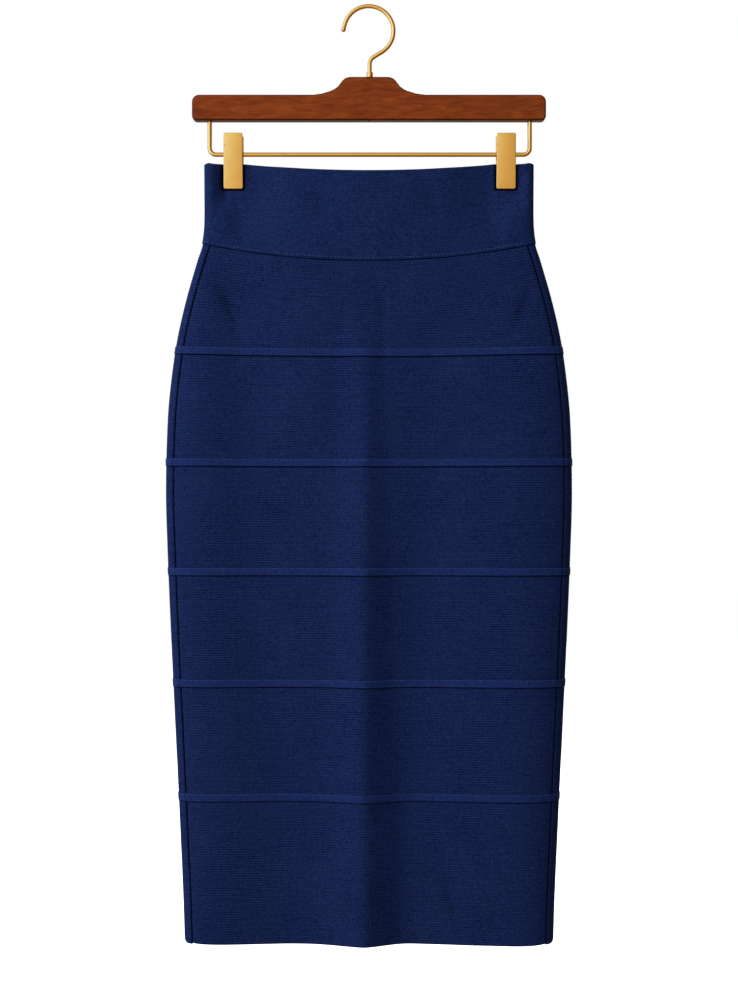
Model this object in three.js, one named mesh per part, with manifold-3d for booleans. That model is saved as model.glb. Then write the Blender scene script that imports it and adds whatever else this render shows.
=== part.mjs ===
import * as THREE from 'three';
import { mergeVertices } from 'three/addons/utils/BufferGeometryUtils.js';
import Module from 'manifold-3d';

// A pencil skirt of ribbed knit, held at its waistband by the two clips of a wooden skirt hanger.
// Millimetres, +Z up. The front faces -Y. The origin is the inside top of the hook, where a rail carries the
// hanger. The middle plane of the hanger and of the skirt is y = 0.

// Driving dimensions of the skirt
const WALL = 2.0;                // thickness of the knit
const WAISTBAND_PROUD = 0.8;     // how far the doubled waistband stands out past the knit below it
const TAPE_WIDTH = 7.2;          // width of the bands that cover the cross seams
const TAPE_THICKNESS = 1.0;
const GAP = 0.3;                 // clearance at seams and between pieces that lie on each other
const SEAM_INSET = 8.4;          // how far in front of each side fold the side seam lies
const SAMPLES_FRONT = 26;        // facets across a front piece
const SAMPLES_BACK = 36;         // facets round a back piece, which wraps both side folds

// Driving dimensions of the hanger
const HOOK_WIRE = 4.2;           // diameters
const HOOK_RADIUS = 24.8;        // middle line of the hook's round part
const HOOK_CENTRE_X = -0.3;
const SHANK_X = 0.7;
const BAR_WIRE = 4.4;
const BAR_X = 0.7;               // middle of the clip bar and of the pair of clips
const BAR_HALF_LENGTH = 160.0;   // from there to the middle of each upright
const BAR_Z = -146.4;
const BAR_BEND = 6.5;
const BAR_IN_WOOD = 12.0;        // length of each upright that is set in the wood
const WOOD_HALF_LENGTH = 176.6;
const WOOD_TOP = -87.5;
const WOOD_FOOT = -113.2;
const WOOD_HEAD_TOP = -69.7;
const WOOD_DEPTH = 14.0;
const WOOD_EDGE = 2.0;           // rounding of the long edges
const CLIP_X = 136.1;            // from BAR_X to the middle of each clip
const CLIP_WIDTH = 19.4;
const CLIP_TOP_WIDTH = 18.2;
const CLIP_TOP = -126.1;
const CLIP_FOOT = -181.2;
const CLIP_PLATE = 1.2;
const CLIP_SPREAD = 5.0;         // how much further apart each jaw is at its finger end

// The skirt's outer face, a row for each height: half of its width seen from the front, how far it stands out
// of the middle plane at the front and at the back, and the radius of the fold at each side.
const FORM = [
  { z: -141.7, halfWidth: 164.3, front: 4.5, back: 4.5, fold: 4.0 },
  { z: -196.7, halfWidth: 163.9, front: 6.0, back: 6.0, fold: 4.6 },
  { z: -219.7, halfWidth: 164.3, front: 7.5, back: 7.6, fold: 5.2 },
  { z: -237.7, halfWidth: 166.8, front: 8.8, back: 9.0, fold: 5.6 },
  { z: -251.7, halfWidth: 171.4, front: 9.8, back: 10.2, fold: 6.0 },
  { z: -291.7, halfWidth: 182.9, front: 11.8, back: 12.4, fold: 6.6 },
  { z: -331.7, halfWidth: 192.0, front: 13.4, back: 14.0, fold: 7.2 },
  { z: -371.7, halfWidth: 197.8, front: 14.6, back: 15.2, fold: 7.7 },
  { z: -411.7, halfWidth: 201.4, front: 15.4, back: 16.0, fold: 8.1 },
  { z: -481.7, halfWidth: 203.2, front: 16.2, back: 16.8, fold: 8.6 },
  { z: -541.7, halfWidth: 201.6, front: 16.4, back: 17.0, fold: 8.9 },
  { z: -631.7, halfWidth: 197.9, front: 16.2, back: 17.0, fold: 9.0 },
  { z: -731.7, halfWidth: 193.1, front: 15.8, back: 16.8, fold: 9.0 },
  { z: -831.7, halfWidth: 188.4, front: 15.5, back: 16.6, fold: 8.9 },
  { z: -891.7, halfWidth: 185.7, front: 15.4, back: 16.5, fold: 8.8 },
  { z: -940.0, halfWidth: 184.2, front: 15.4, back: 16.5, fold: 8.8 },
];

// Where the waist gapes between the clips: between which heights, how wide from the middle, the radius of its
// round middle, and how far it stands out at the front and at the back.
const MOUTH = { top: -150, foot: -262, width: 118, crest: 60, front: 6.5, back: 7.0 };

// The largest soft folds, a row each. They start at the top and are at their full height at the foot. A pair
// of numbers is for the top and for the foot: where the crest runs, and how wide the fold is to the left and
// to the right of it. The crest has a radius and rises from the face. A negative rise is a trough.
const FOLDS = {
  front: [
    { top: -300, foot: -940, x: [-3, -6], left: [22, 49], right: [14, 39], crest: 6, rise: 11.6 },
    { top: -185, foot: -940, x: [-142, -76], left: [20, 66], right: [60, 72], crest: 18, rise: -6.0 },
    { top: -300, foot: -940, x: [60, 38], left: [40, 28], right: [54, 52], crest: 14, rise: -6.0 },
    { top: -300, foot: -940, x: [148, 154], left: [60, 68], right: [44, 58], crest: 18, rise: 6.5 },
  ],
  back: [
    { top: -310, foot: -940, x: [40, 56], left: [26, 50], right: [38, 62], crest: 9, rise: 10.5 },
    { top: -420, foot: -940, x: [-76, -64], left: [30, 60], right: [24, 40], crest: 9, rise: 8.0 },
    { top: -190, foot: -940, x: [141, 120], left: [58, 54], right: [20, 60], crest: 16, rise: -5.5 },
    { top: -260, foot: -940, x: [-132, -126], left: [40, 52], right: [40, 44], crest: 16, rise: -4.5 },
  ],
};
const FOLD_FULLNESS = 1.6;       // how quickly a fold's flanks flatten away from its crest
const FOLD_START = 0.5;          // how quickly a fold gains height below its top
const FOLD_LEAD = 0.08;          // share of its length over which a fold first leaves the face

// The cross seams from the waist to the hem, a row each: the height at the side folds, and how far the knit
// hangs lower at the middle.
const WAIST_SEAM = { side: -235.7, drop: 17.2 };
const TAPE_SEAMS = [
  { side: -342.3, drop: 3.1 },
  { side: -454.0, drop: 0.8 },
  { side: -563.0, drop: 0.0 },
  { side: -673.9, drop: 0.0 },
  { side: -787.3, drop: 0.0 },
];
const HEM = { side: -933.4, drop: 0.0 };
const WAIST_EDGE_Z = -156.0;
const WAIST_EDGE_SAG = 7.6;      // how far the top edge hangs lower midway between the clips
const ROWS_WAISTBAND = 5;        // facets from the top to the foot of each piece
const ROWS_PANEL = 3;
const ROWS_LAST_PANEL = 4;

// Where the clips press front and back together: half the pressed width, and how far the cloth takes to open
// again towards the middle, towards the side fold and below the clip.
const PRESS = { half: 16, inward: 46, outward: 7, foot: -184, below: 66 };

const knit = { color: 0x18264f, roughness: 0.85, metalness: 0 };
const bandKnit = { color: 0x1e2c5c, roughness: 0.7, metalness: 0 };
const cherryWood = { color: 0x78341a, roughness: 0.42, metalness: 0 };
const goldMetal = { color: 0xe1b25f, roughness: 0.32, metalness: 0.9 };

const wasm = await Module();
wasm.setup();

const hanging = new THREE.Group();

function addPiece(name, geometry, finish) {
  const mesh = new THREE.Mesh(geometry, new THREE.MeshStandardMaterial(finish));
  mesh.name = name;
  hanging.add(mesh);
}

// Joining and cutting of closed geometries
function toSolid(geometry) {
  const bare = geometry.clone();
  bare.deleteAttribute('normal');
  bare.deleteAttribute('uv');
  const merged = mergeVertices(bare, 1e-4);
  const vertProperties = new Float32Array(merged.attributes.position.array);
  const triVerts = new Uint32Array(merged.index.array);
  return new wasm.Manifold(new wasm.Mesh({ numProp: 3, vertProperties, triVerts }));
}

function toGeometry(solid) {
  const { vertProperties, triVerts } = solid.getMesh();
  const geometry = new THREE.BufferGeometry();
  geometry.setAttribute('position', new THREE.BufferAttribute(new Float32Array(vertProperties), 3));
  geometry.setIndex(new THREE.BufferAttribute(new Uint32Array(triVerts), 1));
  geometry.computeVertexNormals();
  return geometry;
}

// A path that stops only at the given points, so that a bend is fine and a straight run is one step.
class SteppedPath extends THREE.Curve {
  constructor(points) {
    super();
    this.points = points;
  }

  getPoint(t) {
    const place = t * (this.points.length - 1);
    const index = Math.min(Math.floor(place), this.points.length - 2);
    return this.points[index].clone().lerp(this.points[index + 1], place - index);
  }

  getPointAt(u) {
    return this.getPoint(u);
  }

  getTangentAt(u) {
    const step = 0.5 / (this.points.length - 1);
    const before = this.getPoint(Math.max(0, u - step));
    return this.getPoint(Math.min(1, u + step)).sub(before).normalize();
  }
}

function wire(points, diameter, sides) {
  const section = new THREE.Shape();
  for (let side = 0; side < sides; side += 1) {
    const angle = (2 * Math.PI * (side + 0.5)) / sides;
    const x = (diameter / 2) * Math.cos(angle);
    const y = (diameter / 2) * Math.sin(angle);
    if (side === 0) section.moveTo(x, y);
    else section.lineTo(x, y);
  }
  section.closePath();
  return new THREE.ExtrudeGeometry(section, {
    steps: points.length - 1,
    extrudePath: new SteppedPath(points),
  });
}

// Points of an arc in the plane of the hanger, about (x, z), from one angle to another in degrees.
function arcPoints(x, z, radius, from, to, steps) {
  const points = [];
  for (let step = 0; step <= steps; step += 1) {
    const angle = THREE.MathUtils.degToRad(from + ((to - from) * step) / steps);
    points.push(new THREE.Vector3(x + radius * Math.cos(angle), 0, z + radius * Math.sin(angle)));
  }
  return points;
}

// The hook: a round wire, bent to the rail's arc and back over the middle of the hanger, with its shank set
// in the wood. Its straight tip ends in a little ball.
const HOOK_SIDES = 8;
const HOOK_ARC_STEPS = 18;
const HOOK_ARC_START = 165;      // angles of the two ends of the round part, in degrees
const HOOK_ARC_END = -58;
const TIP_RUN = 5.0;             // straight end of the wire past the round part
const TIP_RADIUS = 2.4;
const NECK_BEND = 8.0;           // radius of the bend from the neck into the shank
const SHANK_FOOT = WOOD_HEAD_TOP - 14.0;
const hookCentreZ = HOOK_WIRE / 2 - HOOK_RADIUS;
const neckHeading = HOOK_ARC_END - 90;

function hookPoints() {
  const arc = [HOOK_ARC_START, HOOK_ARC_END, HOOK_ARC_STEPS];
  const round = arcPoints(HOOK_CENTRE_X, hookCentreZ, HOOK_RADIUS, ...arc);
  const neckStart = round[round.length - 1];
  const heading = THREE.MathUtils.degToRad(neckHeading);
  const bendCentreX = SHANK_X + NECK_BEND;
  const bendStartX = bendCentreX + NECK_BEND * Math.cos(heading - Math.PI / 2);
  const run = (bendStartX - neckStart.x) / Math.cos(heading);
  const bendStartZ = neckStart.z + run * Math.sin(heading);
  const bendCentreZ = bendStartZ - NECK_BEND * Math.sin(heading - Math.PI / 2);
  const bend = arcPoints(bendCentreX, bendCentreZ, NECK_BEND, neckHeading - 90 + 360, 180, 5);
  const start = THREE.MathUtils.degToRad(HOOK_ARC_START);
  const tip = new THREE.Vector3(-Math.sin(start), 0, Math.cos(start)).multiplyScalar(TIP_RUN).add(round[0]);
  return [tip, ...round, ...bend, new THREE.Vector3(SHANK_X, 0, SHANK_FOOT)];
}

function makeHook() {
  const points = hookPoints();
  const ball = new THREE.SphereGeometry(TIP_RADIUS, 10, 6);
  ball.translate(points[0].x, points[0].y, points[0].z);
  const solid = toSolid(wire(points, HOOK_WIRE, HOOK_SIDES)).add(toSolid(ball));
  addPiece('hook', toGeometry(solid), goldMetal);
}

// The collar: a turned ring round the shank, standing on the wood.
const COLLAR_RADIUS = 3.2;
const COLLAR_TOP = -64.2;

function turnedRing(innerRadius, outerRadius, length, edge, segments) {
  const profile = [
    new THREE.Vector2(innerRadius, 0),
    new THREE.Vector2(outerRadius - edge, 0),
    new THREE.Vector2(outerRadius, edge),
    new THREE.Vector2(outerRadius, length - edge),
    new THREE.Vector2(outerRadius - edge, length),
    new THREE.Vector2(innerRadius, length),
    new THREE.Vector2(innerRadius, 0),
  ];
  return new THREE.LatheGeometry(profile, segments);
}

function makeCollar() {
  const foot = WOOD_HEAD_TOP + GAP;
  const ring = turnedRing(HOOK_WIRE / 2 + GAP, COLLAR_RADIUS, COLLAR_TOP - foot, 0.5, 20);
  ring.rotateX(Math.PI / 2);
  ring.translate(SHANK_X, 0, foot);
  addPiece('collar', ring, goldMetal);
}

// The wooden bar: one sawn and rounded board with a raised head at its middle, drilled for the shank and for
// the two uprights of the clip bar.
const WOOD_CORNER_TOP = 7.0;
const WOOD_CORNER_FOOT = 5.0;
// The sweep from the top edge up to the top of the head, x measured from the middle
const SHOULDER = [
  { x: 54, z: WOOD_TOP },
  { x: 38.5, z: -83.7 },
  { x: 31.0, z: -79.2 },
  { x: 26.5, z: -73.0 },
  { x: 20.0, z: WOOD_HEAD_TOP },
];

function woodOutline() {
  const footX = WOOD_HALF_LENGTH - WOOD_CORNER_FOOT;
  const footZ = WOOD_FOOT + WOOD_CORNER_FOOT;
  const topX = WOOD_HALF_LENGTH - WOOD_CORNER_TOP;
  const topZ = WOOD_TOP - WOOD_CORNER_TOP;
  const right = SHOULDER.map((row) => new THREE.Vector2(row.x, row.z));
  const left = SHOULDER.map((row) => new THREE.Vector2(-row.x, row.z)).reverse();
  const outline = new THREE.Shape();
  outline.moveTo(-footX, WOOD_FOOT);
  outline.lineTo(footX, WOOD_FOOT);
  outline.absarc(footX, footZ, WOOD_CORNER_FOOT, -Math.PI / 2, 0);
  outline.lineTo(WOOD_HALF_LENGTH, topZ);
  outline.absarc(topX, topZ, WOOD_CORNER_TOP, 0, Math.PI / 2);
  outline.lineTo(right[0].x, right[0].y);
  outline.splineThru(right.slice(1));
  outline.lineTo(left[0].x, left[0].y);
  outline.splineThru(left.slice(1));
  outline.lineTo(-topX, WOOD_TOP);
  outline.absarc(-topX, topZ, WOOD_CORNER_TOP, Math.PI / 2, Math.PI);
  outline.lineTo(-WOOD_HALF_LENGTH, footZ);
  outline.absarc(-footX, footZ, WOOD_CORNER_FOOT, Math.PI, Math.PI * 1.5);
  return outline;
}

function drill(diameter, x, top, foot) {
  const bit = new THREE.CylinderGeometry(diameter / 2 + GAP, diameter / 2 + GAP, top - foot, 12);
  bit.rotateX(Math.PI / 2);
  bit.translate(x, 0, (top + foot) / 2);
  return toSolid(bit);
}

function makeWood() {
  const board = new THREE.ExtrudeGeometry(woodOutline(), {
    depth: WOOD_DEPTH - 2 * WOOD_EDGE,
    curveSegments: 3,
    bevelEnabled: true,
    bevelThickness: WOOD_EDGE,
    bevelSize: WOOD_EDGE,
    bevelOffset: -WOOD_EDGE,
    bevelSegments: 2,
  });
  board.rotateX(Math.PI / 2);
  board.translate(0, WOOD_DEPTH / 2 - WOOD_EDGE, 0);
  let solid = toSolid(board).subtract(drill(HOOK_WIRE, SHANK_X, WOOD_HEAD_TOP + 1, SHANK_FOOT - GAP));
  for (const side of [-1, 1]) {
    const holeTop = WOOD_FOOT + BAR_IN_WOOD + GAP;
    solid = solid.subtract(drill(BAR_WIRE, BAR_X + side * BAR_HALF_LENGTH, holeTop, WOOD_FOOT - 1));
  }
  addPiece('wood_bar', toGeometry(solid), cherryWood);
}

// The clip bar: one wire bent to a wide U, with both ends set in the underside of the wood.
function makeClipBar() {
  const top = WOOD_FOOT + BAR_IN_WOOD;
  const bendX = BAR_HALF_LENGTH - BAR_BEND;
  const bendZ = BAR_Z + BAR_BEND;
  const points = [
    new THREE.Vector3(BAR_X - BAR_HALF_LENGTH, 0, top),
    ...arcPoints(BAR_X - bendX, bendZ, BAR_BEND, 180, 270, 5),
    ...arcPoints(BAR_X + bendX, bendZ, BAR_BEND, 270, 360, 5),
    new THREE.Vector3(BAR_X + BAR_HALF_LENGTH, 0, top),
  ];
  addPiece('clip_bar', wire(points, BAR_WIRE, 12), goldMetal);
}

// A jaw of a clip: a slanted plate, a little narrower at its finger end, with two ears, pierced by the bar,
// that turn in. The front jaw's ears lie outside the back jaw's.
const pressedFace = WALL + WAISTBAND_PROUD + GAP / 2;
const EAR_RADIUS = 4.4;
const EAR_THICKNESS = 1.0;
const OUTER_EARS = 9.5;          // from the middle of a clip to the middle of each outer ear
const INNER_EARS = OUTER_EARS - EAR_THICKNESS - GAP;
const EAR_HALF_HEIGHT = 11.0;    // half the height of an ear where it leaves the plate
const JAW_CORNER = 1.5;

function jawFace(z) {
  const rise = (z - CLIP_FOOT) / (CLIP_TOP - CLIP_FOOT);
  return pressedFace + GAP + CLIP_SPREAD * rise;
}

function jawPlate() {
  const height = CLIP_TOP - CLIP_FOOT;
  const lean = Math.atan2(CLIP_SPREAD, height);
  const half = CLIP_WIDTH / 2;
  const topHalf = CLIP_TOP_WIDTH / 2;
  const plate = new THREE.Shape();
  plate.moveTo(-half + JAW_CORNER, 0);
  plate.lineTo(half - JAW_CORNER, 0);
  plate.absarc(half - JAW_CORNER, JAW_CORNER, JAW_CORNER, -Math.PI / 2, 0);
  plate.lineTo(topHalf, height - JAW_CORNER);
  plate.absarc(topHalf - JAW_CORNER, height - JAW_CORNER, JAW_CORNER, 0, Math.PI / 2);
  plate.lineTo(-topHalf + JAW_CORNER, height);
  plate.absarc(-topHalf + JAW_CORNER, height - JAW_CORNER, JAW_CORNER, Math.PI / 2, Math.PI);
  plate.lineTo(-half, JAW_CORNER);
  plate.absarc(-half + JAW_CORNER, JAW_CORNER, JAW_CORNER, Math.PI, Math.PI * 1.5);
  const thickness = { depth: CLIP_PLATE, curveSegments: 3, bevelEnabled: false };
  const geometry = new THREE.ExtrudeGeometry(plate, thickness);
  geometry.rotateX(Math.PI / 2);
  geometry.rotateX(lean);
  geometry.translate(0, -jawFace(CLIP_FOOT), CLIP_FOOT);
  return toSolid(geometry);
}

function jawEar(x) {
  const ear = new THREE.Shape();
  const topZ = BAR_Z + EAR_HALF_HEIGHT;
  const footZ = BAR_Z - EAR_HALF_HEIGHT;
  ear.moveTo(-jawFace(footZ) - CLIP_PLATE / 2, footZ);
  ear.absarc(0, BAR_Z, EAR_RADIUS, -Math.PI / 3, Math.PI / 3);
  ear.lineTo(-jawFace(topZ) - CLIP_PLATE / 2, topZ);
  ear.closePath();
  const thickness = { depth: EAR_THICKNESS, curveSegments: 6, bevelEnabled: false };
  const geometry = new THREE.ExtrudeGeometry(ear, thickness);
  geometry.rotateX(Math.PI / 2);
  geometry.rotateZ(Math.PI / 2);
  geometry.translate(x - EAR_THICKNESS / 2, 0, 0);
  return toSolid(geometry);
}

function makeJaw(name, clipX, faceSign, earX) {
  const hole = new THREE.CylinderGeometry(BAR_WIRE / 2 + GAP, BAR_WIRE / 2 + GAP, CLIP_WIDTH + 2, 16);
  hole.rotateZ(Math.PI / 2);
  hole.translate(0, 0, BAR_Z);
  const solid = jawPlate().add(jawEar(-earX)).add(jawEar(earX)).subtract(toSolid(hole));
  const geometry = toGeometry(solid);
  if (faceSign > 0) geometry.rotateZ(Math.PI);
  geometry.translate(clipX, 0, 0);
  addPiece(name, geometry, goldMetal);
}

// The spring of a clip: a close coil round the bar, between the ears.
const SPRING_RADIUS = 3.5;
const SPRING_LENGTH = 12.0;

function makeSpring(name, clipX) {
  const coil = turnedRing(BAR_WIRE / 2 + GAP, SPRING_RADIUS, SPRING_LENGTH, 0.4, 16);
  coil.rotateZ(-Math.PI / 2);
  coil.translate(clipX - SPRING_LENGTH / 2, 0, BAR_Z);
  addPiece(name, coil, goldMetal);
}

// Reads a column of the form at a height, on a smooth curve through its rows.
function formAt(column, z) {
  let row = 1;
  while (row < FORM.length - 2 && FORM[row + 1].z > z) row += 1;
  const before = FORM[row - 1];
  const here = FORM[row];
  const next = FORM[row + 1];
  const after = FORM[Math.min(row + 2, FORM.length - 1)];
  if (z > here.z) {
    const t = (z - before.z) / (here.z - before.z);
    return before[column] + (here[column] - before[column]) * t;
  }
  const span = next.z - here.z;
  const t = Math.min(1, (z - here.z) / span);
  const slopeHere = ((next[column] - before[column]) / (next.z - before.z)) * span;
  const slopeNext = ((after[column] - here[column]) / (after.z - here.z)) * span;
  const a = 2 * t ** 3 - 3 * t ** 2 + 1;
  const b = t ** 3 - 2 * t ** 2 + t;
  const c = 3 * t ** 2 - 2 * t ** 3;
  const d = t ** 3 - t ** 2;
  return a * here[column] + b * slopeHere + c * next[column] + d * slopeNext;
}

// How high a rounded crest still is at a distance from it, from 1 to 0.
function crestShare(away, crest, width) {
  const distance = Math.min(1, (Math.hypot(away, crest) - crest) / width);
  return (1 - distance) ** FOLD_FULLNESS;
}

function foldSum(face, x, z) {
  const shareAbove = (top, foot) => THREE.MathUtils.clamp((z - top) / (foot - top), 0, 1);
  const closed = shareAbove(MOUTH.top, MOUTH.foot);
  let sum = MOUTH[face] * Math.cos((Math.PI / 2) * closed) * crestShare(x, MOUTH.crest, MOUTH.width);
  for (const fold of FOLDS[face]) {
    const t = shareAbove(fold.top, fold.foot);
    const lead = THREE.MathUtils.smoothstep(t, 0, FOLD_LEAD);
    const away = x - THREE.MathUtils.lerp(...fold.x, t);
    const width = THREE.MathUtils.lerp(...(away < 0 ? fold.left : fold.right), t);
    sum += fold.rise * t ** FOLD_START * lead * crestShare(away, fold.crest, width);
  }
  return sum;
}

// How firmly the clips hold the cloth shut here, from 0 to 1.
function pressed(x, z) {
  const away = Math.abs(x) - CLIP_X;
  const reach = away < 0 ? PRESS.inward : PRESS.outward;
  const across = 1 - THREE.MathUtils.smoothstep(Math.abs(away) - PRESS.half, 0, reach);
  const down = THREE.MathUtils.smoothstep(z, PRESS.foot - PRESS.below, PRESS.foot);
  return across * down;
}

// A point of the skirt's outer face. The turn goes round the section from the middle of the front (0), past
// the side fold at +X (a quarter turn), to the middle of the back (half a turn).
function facePoint(turn, z) {
  const halfWidth = formAt('halfWidth', z);
  const face = Math.cos(turn) >= 0 ? 'front' : 'back';
  const x = halfWidth * Math.sin(turn);
  const base = formAt(face, z);
  const sharpness = (2 * halfWidth * formAt('fold', z)) / base ** 2;
  const roundOff = Math.sqrt(Math.max(0, 1 - Math.abs(x / halfWidth) ** sharpness));
  const shut = WALL + GAP / 2;
  const open = Math.max(base + foldSum(face, x, z), shut);
  const depth = roundOff * (shut + (open - shut) * (1 - pressed(x, z)));
  return new THREE.Vector2(x, face === 'front' ? -depth : depth);
}

// The same point, moved out of the face by a distance, in three dimensions.
function offsetPoint(turn, z, distance) {
  const step = 1e-3;
  const along = facePoint(turn + step, z).sub(facePoint(turn - step, z)).normalize();
  const point = facePoint(turn, z);
  return new THREE.Vector3(point.x + along.y * distance, point.y - along.x * distance, z);
}

// The height of a cross seam at a place across the skirt, moved up or down by a shift.
function seamZ(seam, turn, shift) {
  return seam.side - seam.drop * Math.cos(turn) ** 2 + shift;
}

function waistEdgeZ(turn) {
  const x = formAt('halfWidth', WAIST_EDGE_Z) * Math.sin(turn);
  const across = x / (CLIP_X - CLIP_WIDTH / 2);
  return WAIST_EDGE_Z - WAIST_EDGE_SAG * Math.max(0, 1 - across ** 2);
}

// The turn at which the side seam lies, at +X and in front of the fold, at this height.
function seamTurn(z, inset) {
  return Math.asin(1 - inset / formAt('halfWidth', z));
}

const spans = {
  front: {
    samples: SAMPLES_FRONT,
    from: (z) => -seamTurn(z, SEAM_INSET + GAP),
    to: (z) => seamTurn(z, SEAM_INSET + GAP),
  },
  back: {
    samples: SAMPLES_BACK,
    from: (z) => seamTurn(z, SEAM_INSET),
    to: (z) => 2 * Math.PI - seamTurn(z, SEAM_INSET),
  },
};

// A closed wall between two cross lines of the skirt, on one span of its section. The top and foot give a
// height for each turn, and the inner and outer distances are measured out of the skirt's face.
function cloth({ span, top, foot, rows, inner, outer }) {
  const columns = span.samples;
  const positions = [];
  for (const distance of [outer, inner]) {
    for (let row = 0; row <= rows; row += 1) {
      const sideZ = top(Math.PI / 2) + ((foot(Math.PI / 2) - top(Math.PI / 2)) * row) / rows;
      for (let column = 0; column <= columns; column += 1) {
        const turn = span.from(sideZ) + ((span.to(sideZ) - span.from(sideZ)) * column) / columns;
        const z = top(turn) + ((foot(turn) - top(turn)) * row) / rows;
        positions.push(...offsetPoint(turn, z, distance).toArray());
      }
    }
  }
  const across = columns + 1;
  const layer = across * (rows + 1);
  const index = [];
  const quad = (a, b, c, d) => index.push(a, b, c, a, c, d);
  for (let row = 0; row < rows; row += 1) {
    for (let column = 0; column < columns; column += 1) {
      const corner = row * across + column;
      quad(corner, corner + across, corner + across + 1, corner + 1);
      quad(layer + corner, layer + corner + 1, layer + corner + across + 1, layer + corner + across);
    }
  }
  const last = rows * across;
  for (let column = 0; column < columns; column += 1) {
    quad(column, column + 1, layer + column + 1, layer + column);
    quad(last + column, layer + last + column, layer + last + column + 1, last + column + 1);
  }
  for (let row = 0; row < rows; row += 1) {
    const near = row * across;
    const far = near + columns;
    quad(near, layer + near, layer + near + across, near + across);
    quad(far, far + across, layer + far + across, layer + far);
  }
  const geometry = new THREE.BufferGeometry();
  geometry.setAttribute('position', new THREE.Float32BufferAttribute(positions, 3));
  geometry.setIndex(index);
  geometry.computeVertexNormals();
  return geometry;
}

function makeWaistband(side) {
  const foot = (turn) => seamZ(WAIST_SEAM, turn, GAP / 2);
  const limits = { top: waistEdgeZ, foot, inner: -WALL, outer: WAISTBAND_PROUD };
  addPiece(`waistband_${side}`, cloth({ span: spans[side], rows: ROWS_WAISTBAND, ...limits }), knit);
}

// The knit panels, from the waist seam to the hem, each sewn to the next under a tape.
function makePanels(side) {
  const seams = [WAIST_SEAM, ...TAPE_SEAMS, HEM];
  for (let number = 1; number < seams.length; number += 1) {
    const isLast = number === seams.length - 1;
    const top = (turn) => seamZ(seams[number - 1], turn, -GAP / 2);
    const foot = (turn) => seamZ(seams[number], turn, isLast ? 0 : GAP / 2);
    const rows = isLast ? ROWS_LAST_PANEL : ROWS_PANEL;
    const panel = cloth({ span: spans[side], top, foot, rows, inner: -WALL, outer: 0 });
    addPiece(`${side}_panel_${number}`, panel, knit);
  }
}

// The tapes, stitched over the seams between the panels.
function makeTapes(side) {
  TAPE_SEAMS.forEach((seam, number) => {
    const top = (turn) => seamZ(seam, turn, TAPE_WIDTH / 2);
    const foot = (turn) => seamZ(seam, turn, -TAPE_WIDTH / 2);
    const tape = cloth({ span: spans[side], top, foot, rows: 1, inner: GAP, outer: GAP + TAPE_THICKNESS });
    addPiece(`${side}_tape_${number + 1}`, tape, bandKnit);
  });
}

makeHook();
makeCollar();
makeWood();
makeClipBar();
for (const [place, clipX] of [['left', BAR_X - CLIP_X], ['right', BAR_X + CLIP_X]]) {
  makeJaw(`jaw_front_${place}`, clipX, -1, OUTER_EARS);
  makeJaw(`jaw_back_${place}`, clipX, 1, INNER_EARS);
  makeSpring(`spring_${place}`, clipX);
}
for (const side of ['front', 'back']) {
  makeWaistband(side);
  makePanels(side);
  makeTapes(side);
}

export default hanging;
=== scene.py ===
import math

import bmesh
import bpy
import numpy as np
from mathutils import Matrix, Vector


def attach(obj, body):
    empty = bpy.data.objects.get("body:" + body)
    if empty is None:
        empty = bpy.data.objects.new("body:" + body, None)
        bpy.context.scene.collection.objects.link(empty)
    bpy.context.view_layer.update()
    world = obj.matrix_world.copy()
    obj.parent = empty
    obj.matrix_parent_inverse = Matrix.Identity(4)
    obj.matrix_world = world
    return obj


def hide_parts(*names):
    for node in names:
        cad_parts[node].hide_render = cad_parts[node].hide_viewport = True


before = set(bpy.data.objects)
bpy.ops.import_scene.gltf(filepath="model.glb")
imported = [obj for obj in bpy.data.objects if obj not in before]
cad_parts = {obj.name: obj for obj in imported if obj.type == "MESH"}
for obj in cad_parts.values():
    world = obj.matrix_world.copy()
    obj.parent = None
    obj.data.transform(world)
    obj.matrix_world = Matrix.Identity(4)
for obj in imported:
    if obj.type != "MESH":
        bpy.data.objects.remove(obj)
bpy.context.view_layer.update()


# The studio. The skirt hangs in front of white paper, high over a white floor, and is lit by one large soft
# lamp high on the left, a wide weak one in front, two that light its back and the pale room. Polished things
# mirror the room alone, which is cool and bright at its window, on the left, warm brown away from it and pale
# behind. The camera stands 1.8 m away, level with the middle of the skirt.
CAMERA_DISTANCE = 1.8
CAMERA_HEIGHT = -0.4837
LAMPS_AIM_AT = Vector((0.0, 0.0, -0.52))
# Degrees to the left of the camera and degrees up, distance, width, height, power, tint
LAMPS = {
    "key_lamp": (60, 30, 2.8, 1.8, 1.8, 84.0, (1.0, 0.985, 0.97)),
    "front_lamp": (8, 8, 3.6, 3.0, 2.6, 37.0, (1.0, 0.99, 0.97)),
    "back_key_lamp": (212, 24, 3.2, 1.6, 1.6, 62.0, (1.0, 0.985, 0.97)),
    "back_lamp": (180, 8, 3.6, 2.6, 2.6, 44.0, (1.0, 0.99, 0.97)),
}

bpy.context.scene.view_settings.view_transform = "Standard"

camera_lens = bpy.data.cameras.new("camera")
camera_lens.lens = 65.85
camera_lens.sensor_width = 36.0
camera = bpy.data.objects.new("camera", camera_lens)
bpy.context.scene.collection.objects.link(camera)
camera.location = (0.0, -CAMERA_DISTANCE, CAMERA_HEIGHT)
camera.rotation_euler = (math.radians(90), 0.0, 0.0)
bpy.context.scene.camera = camera

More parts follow.
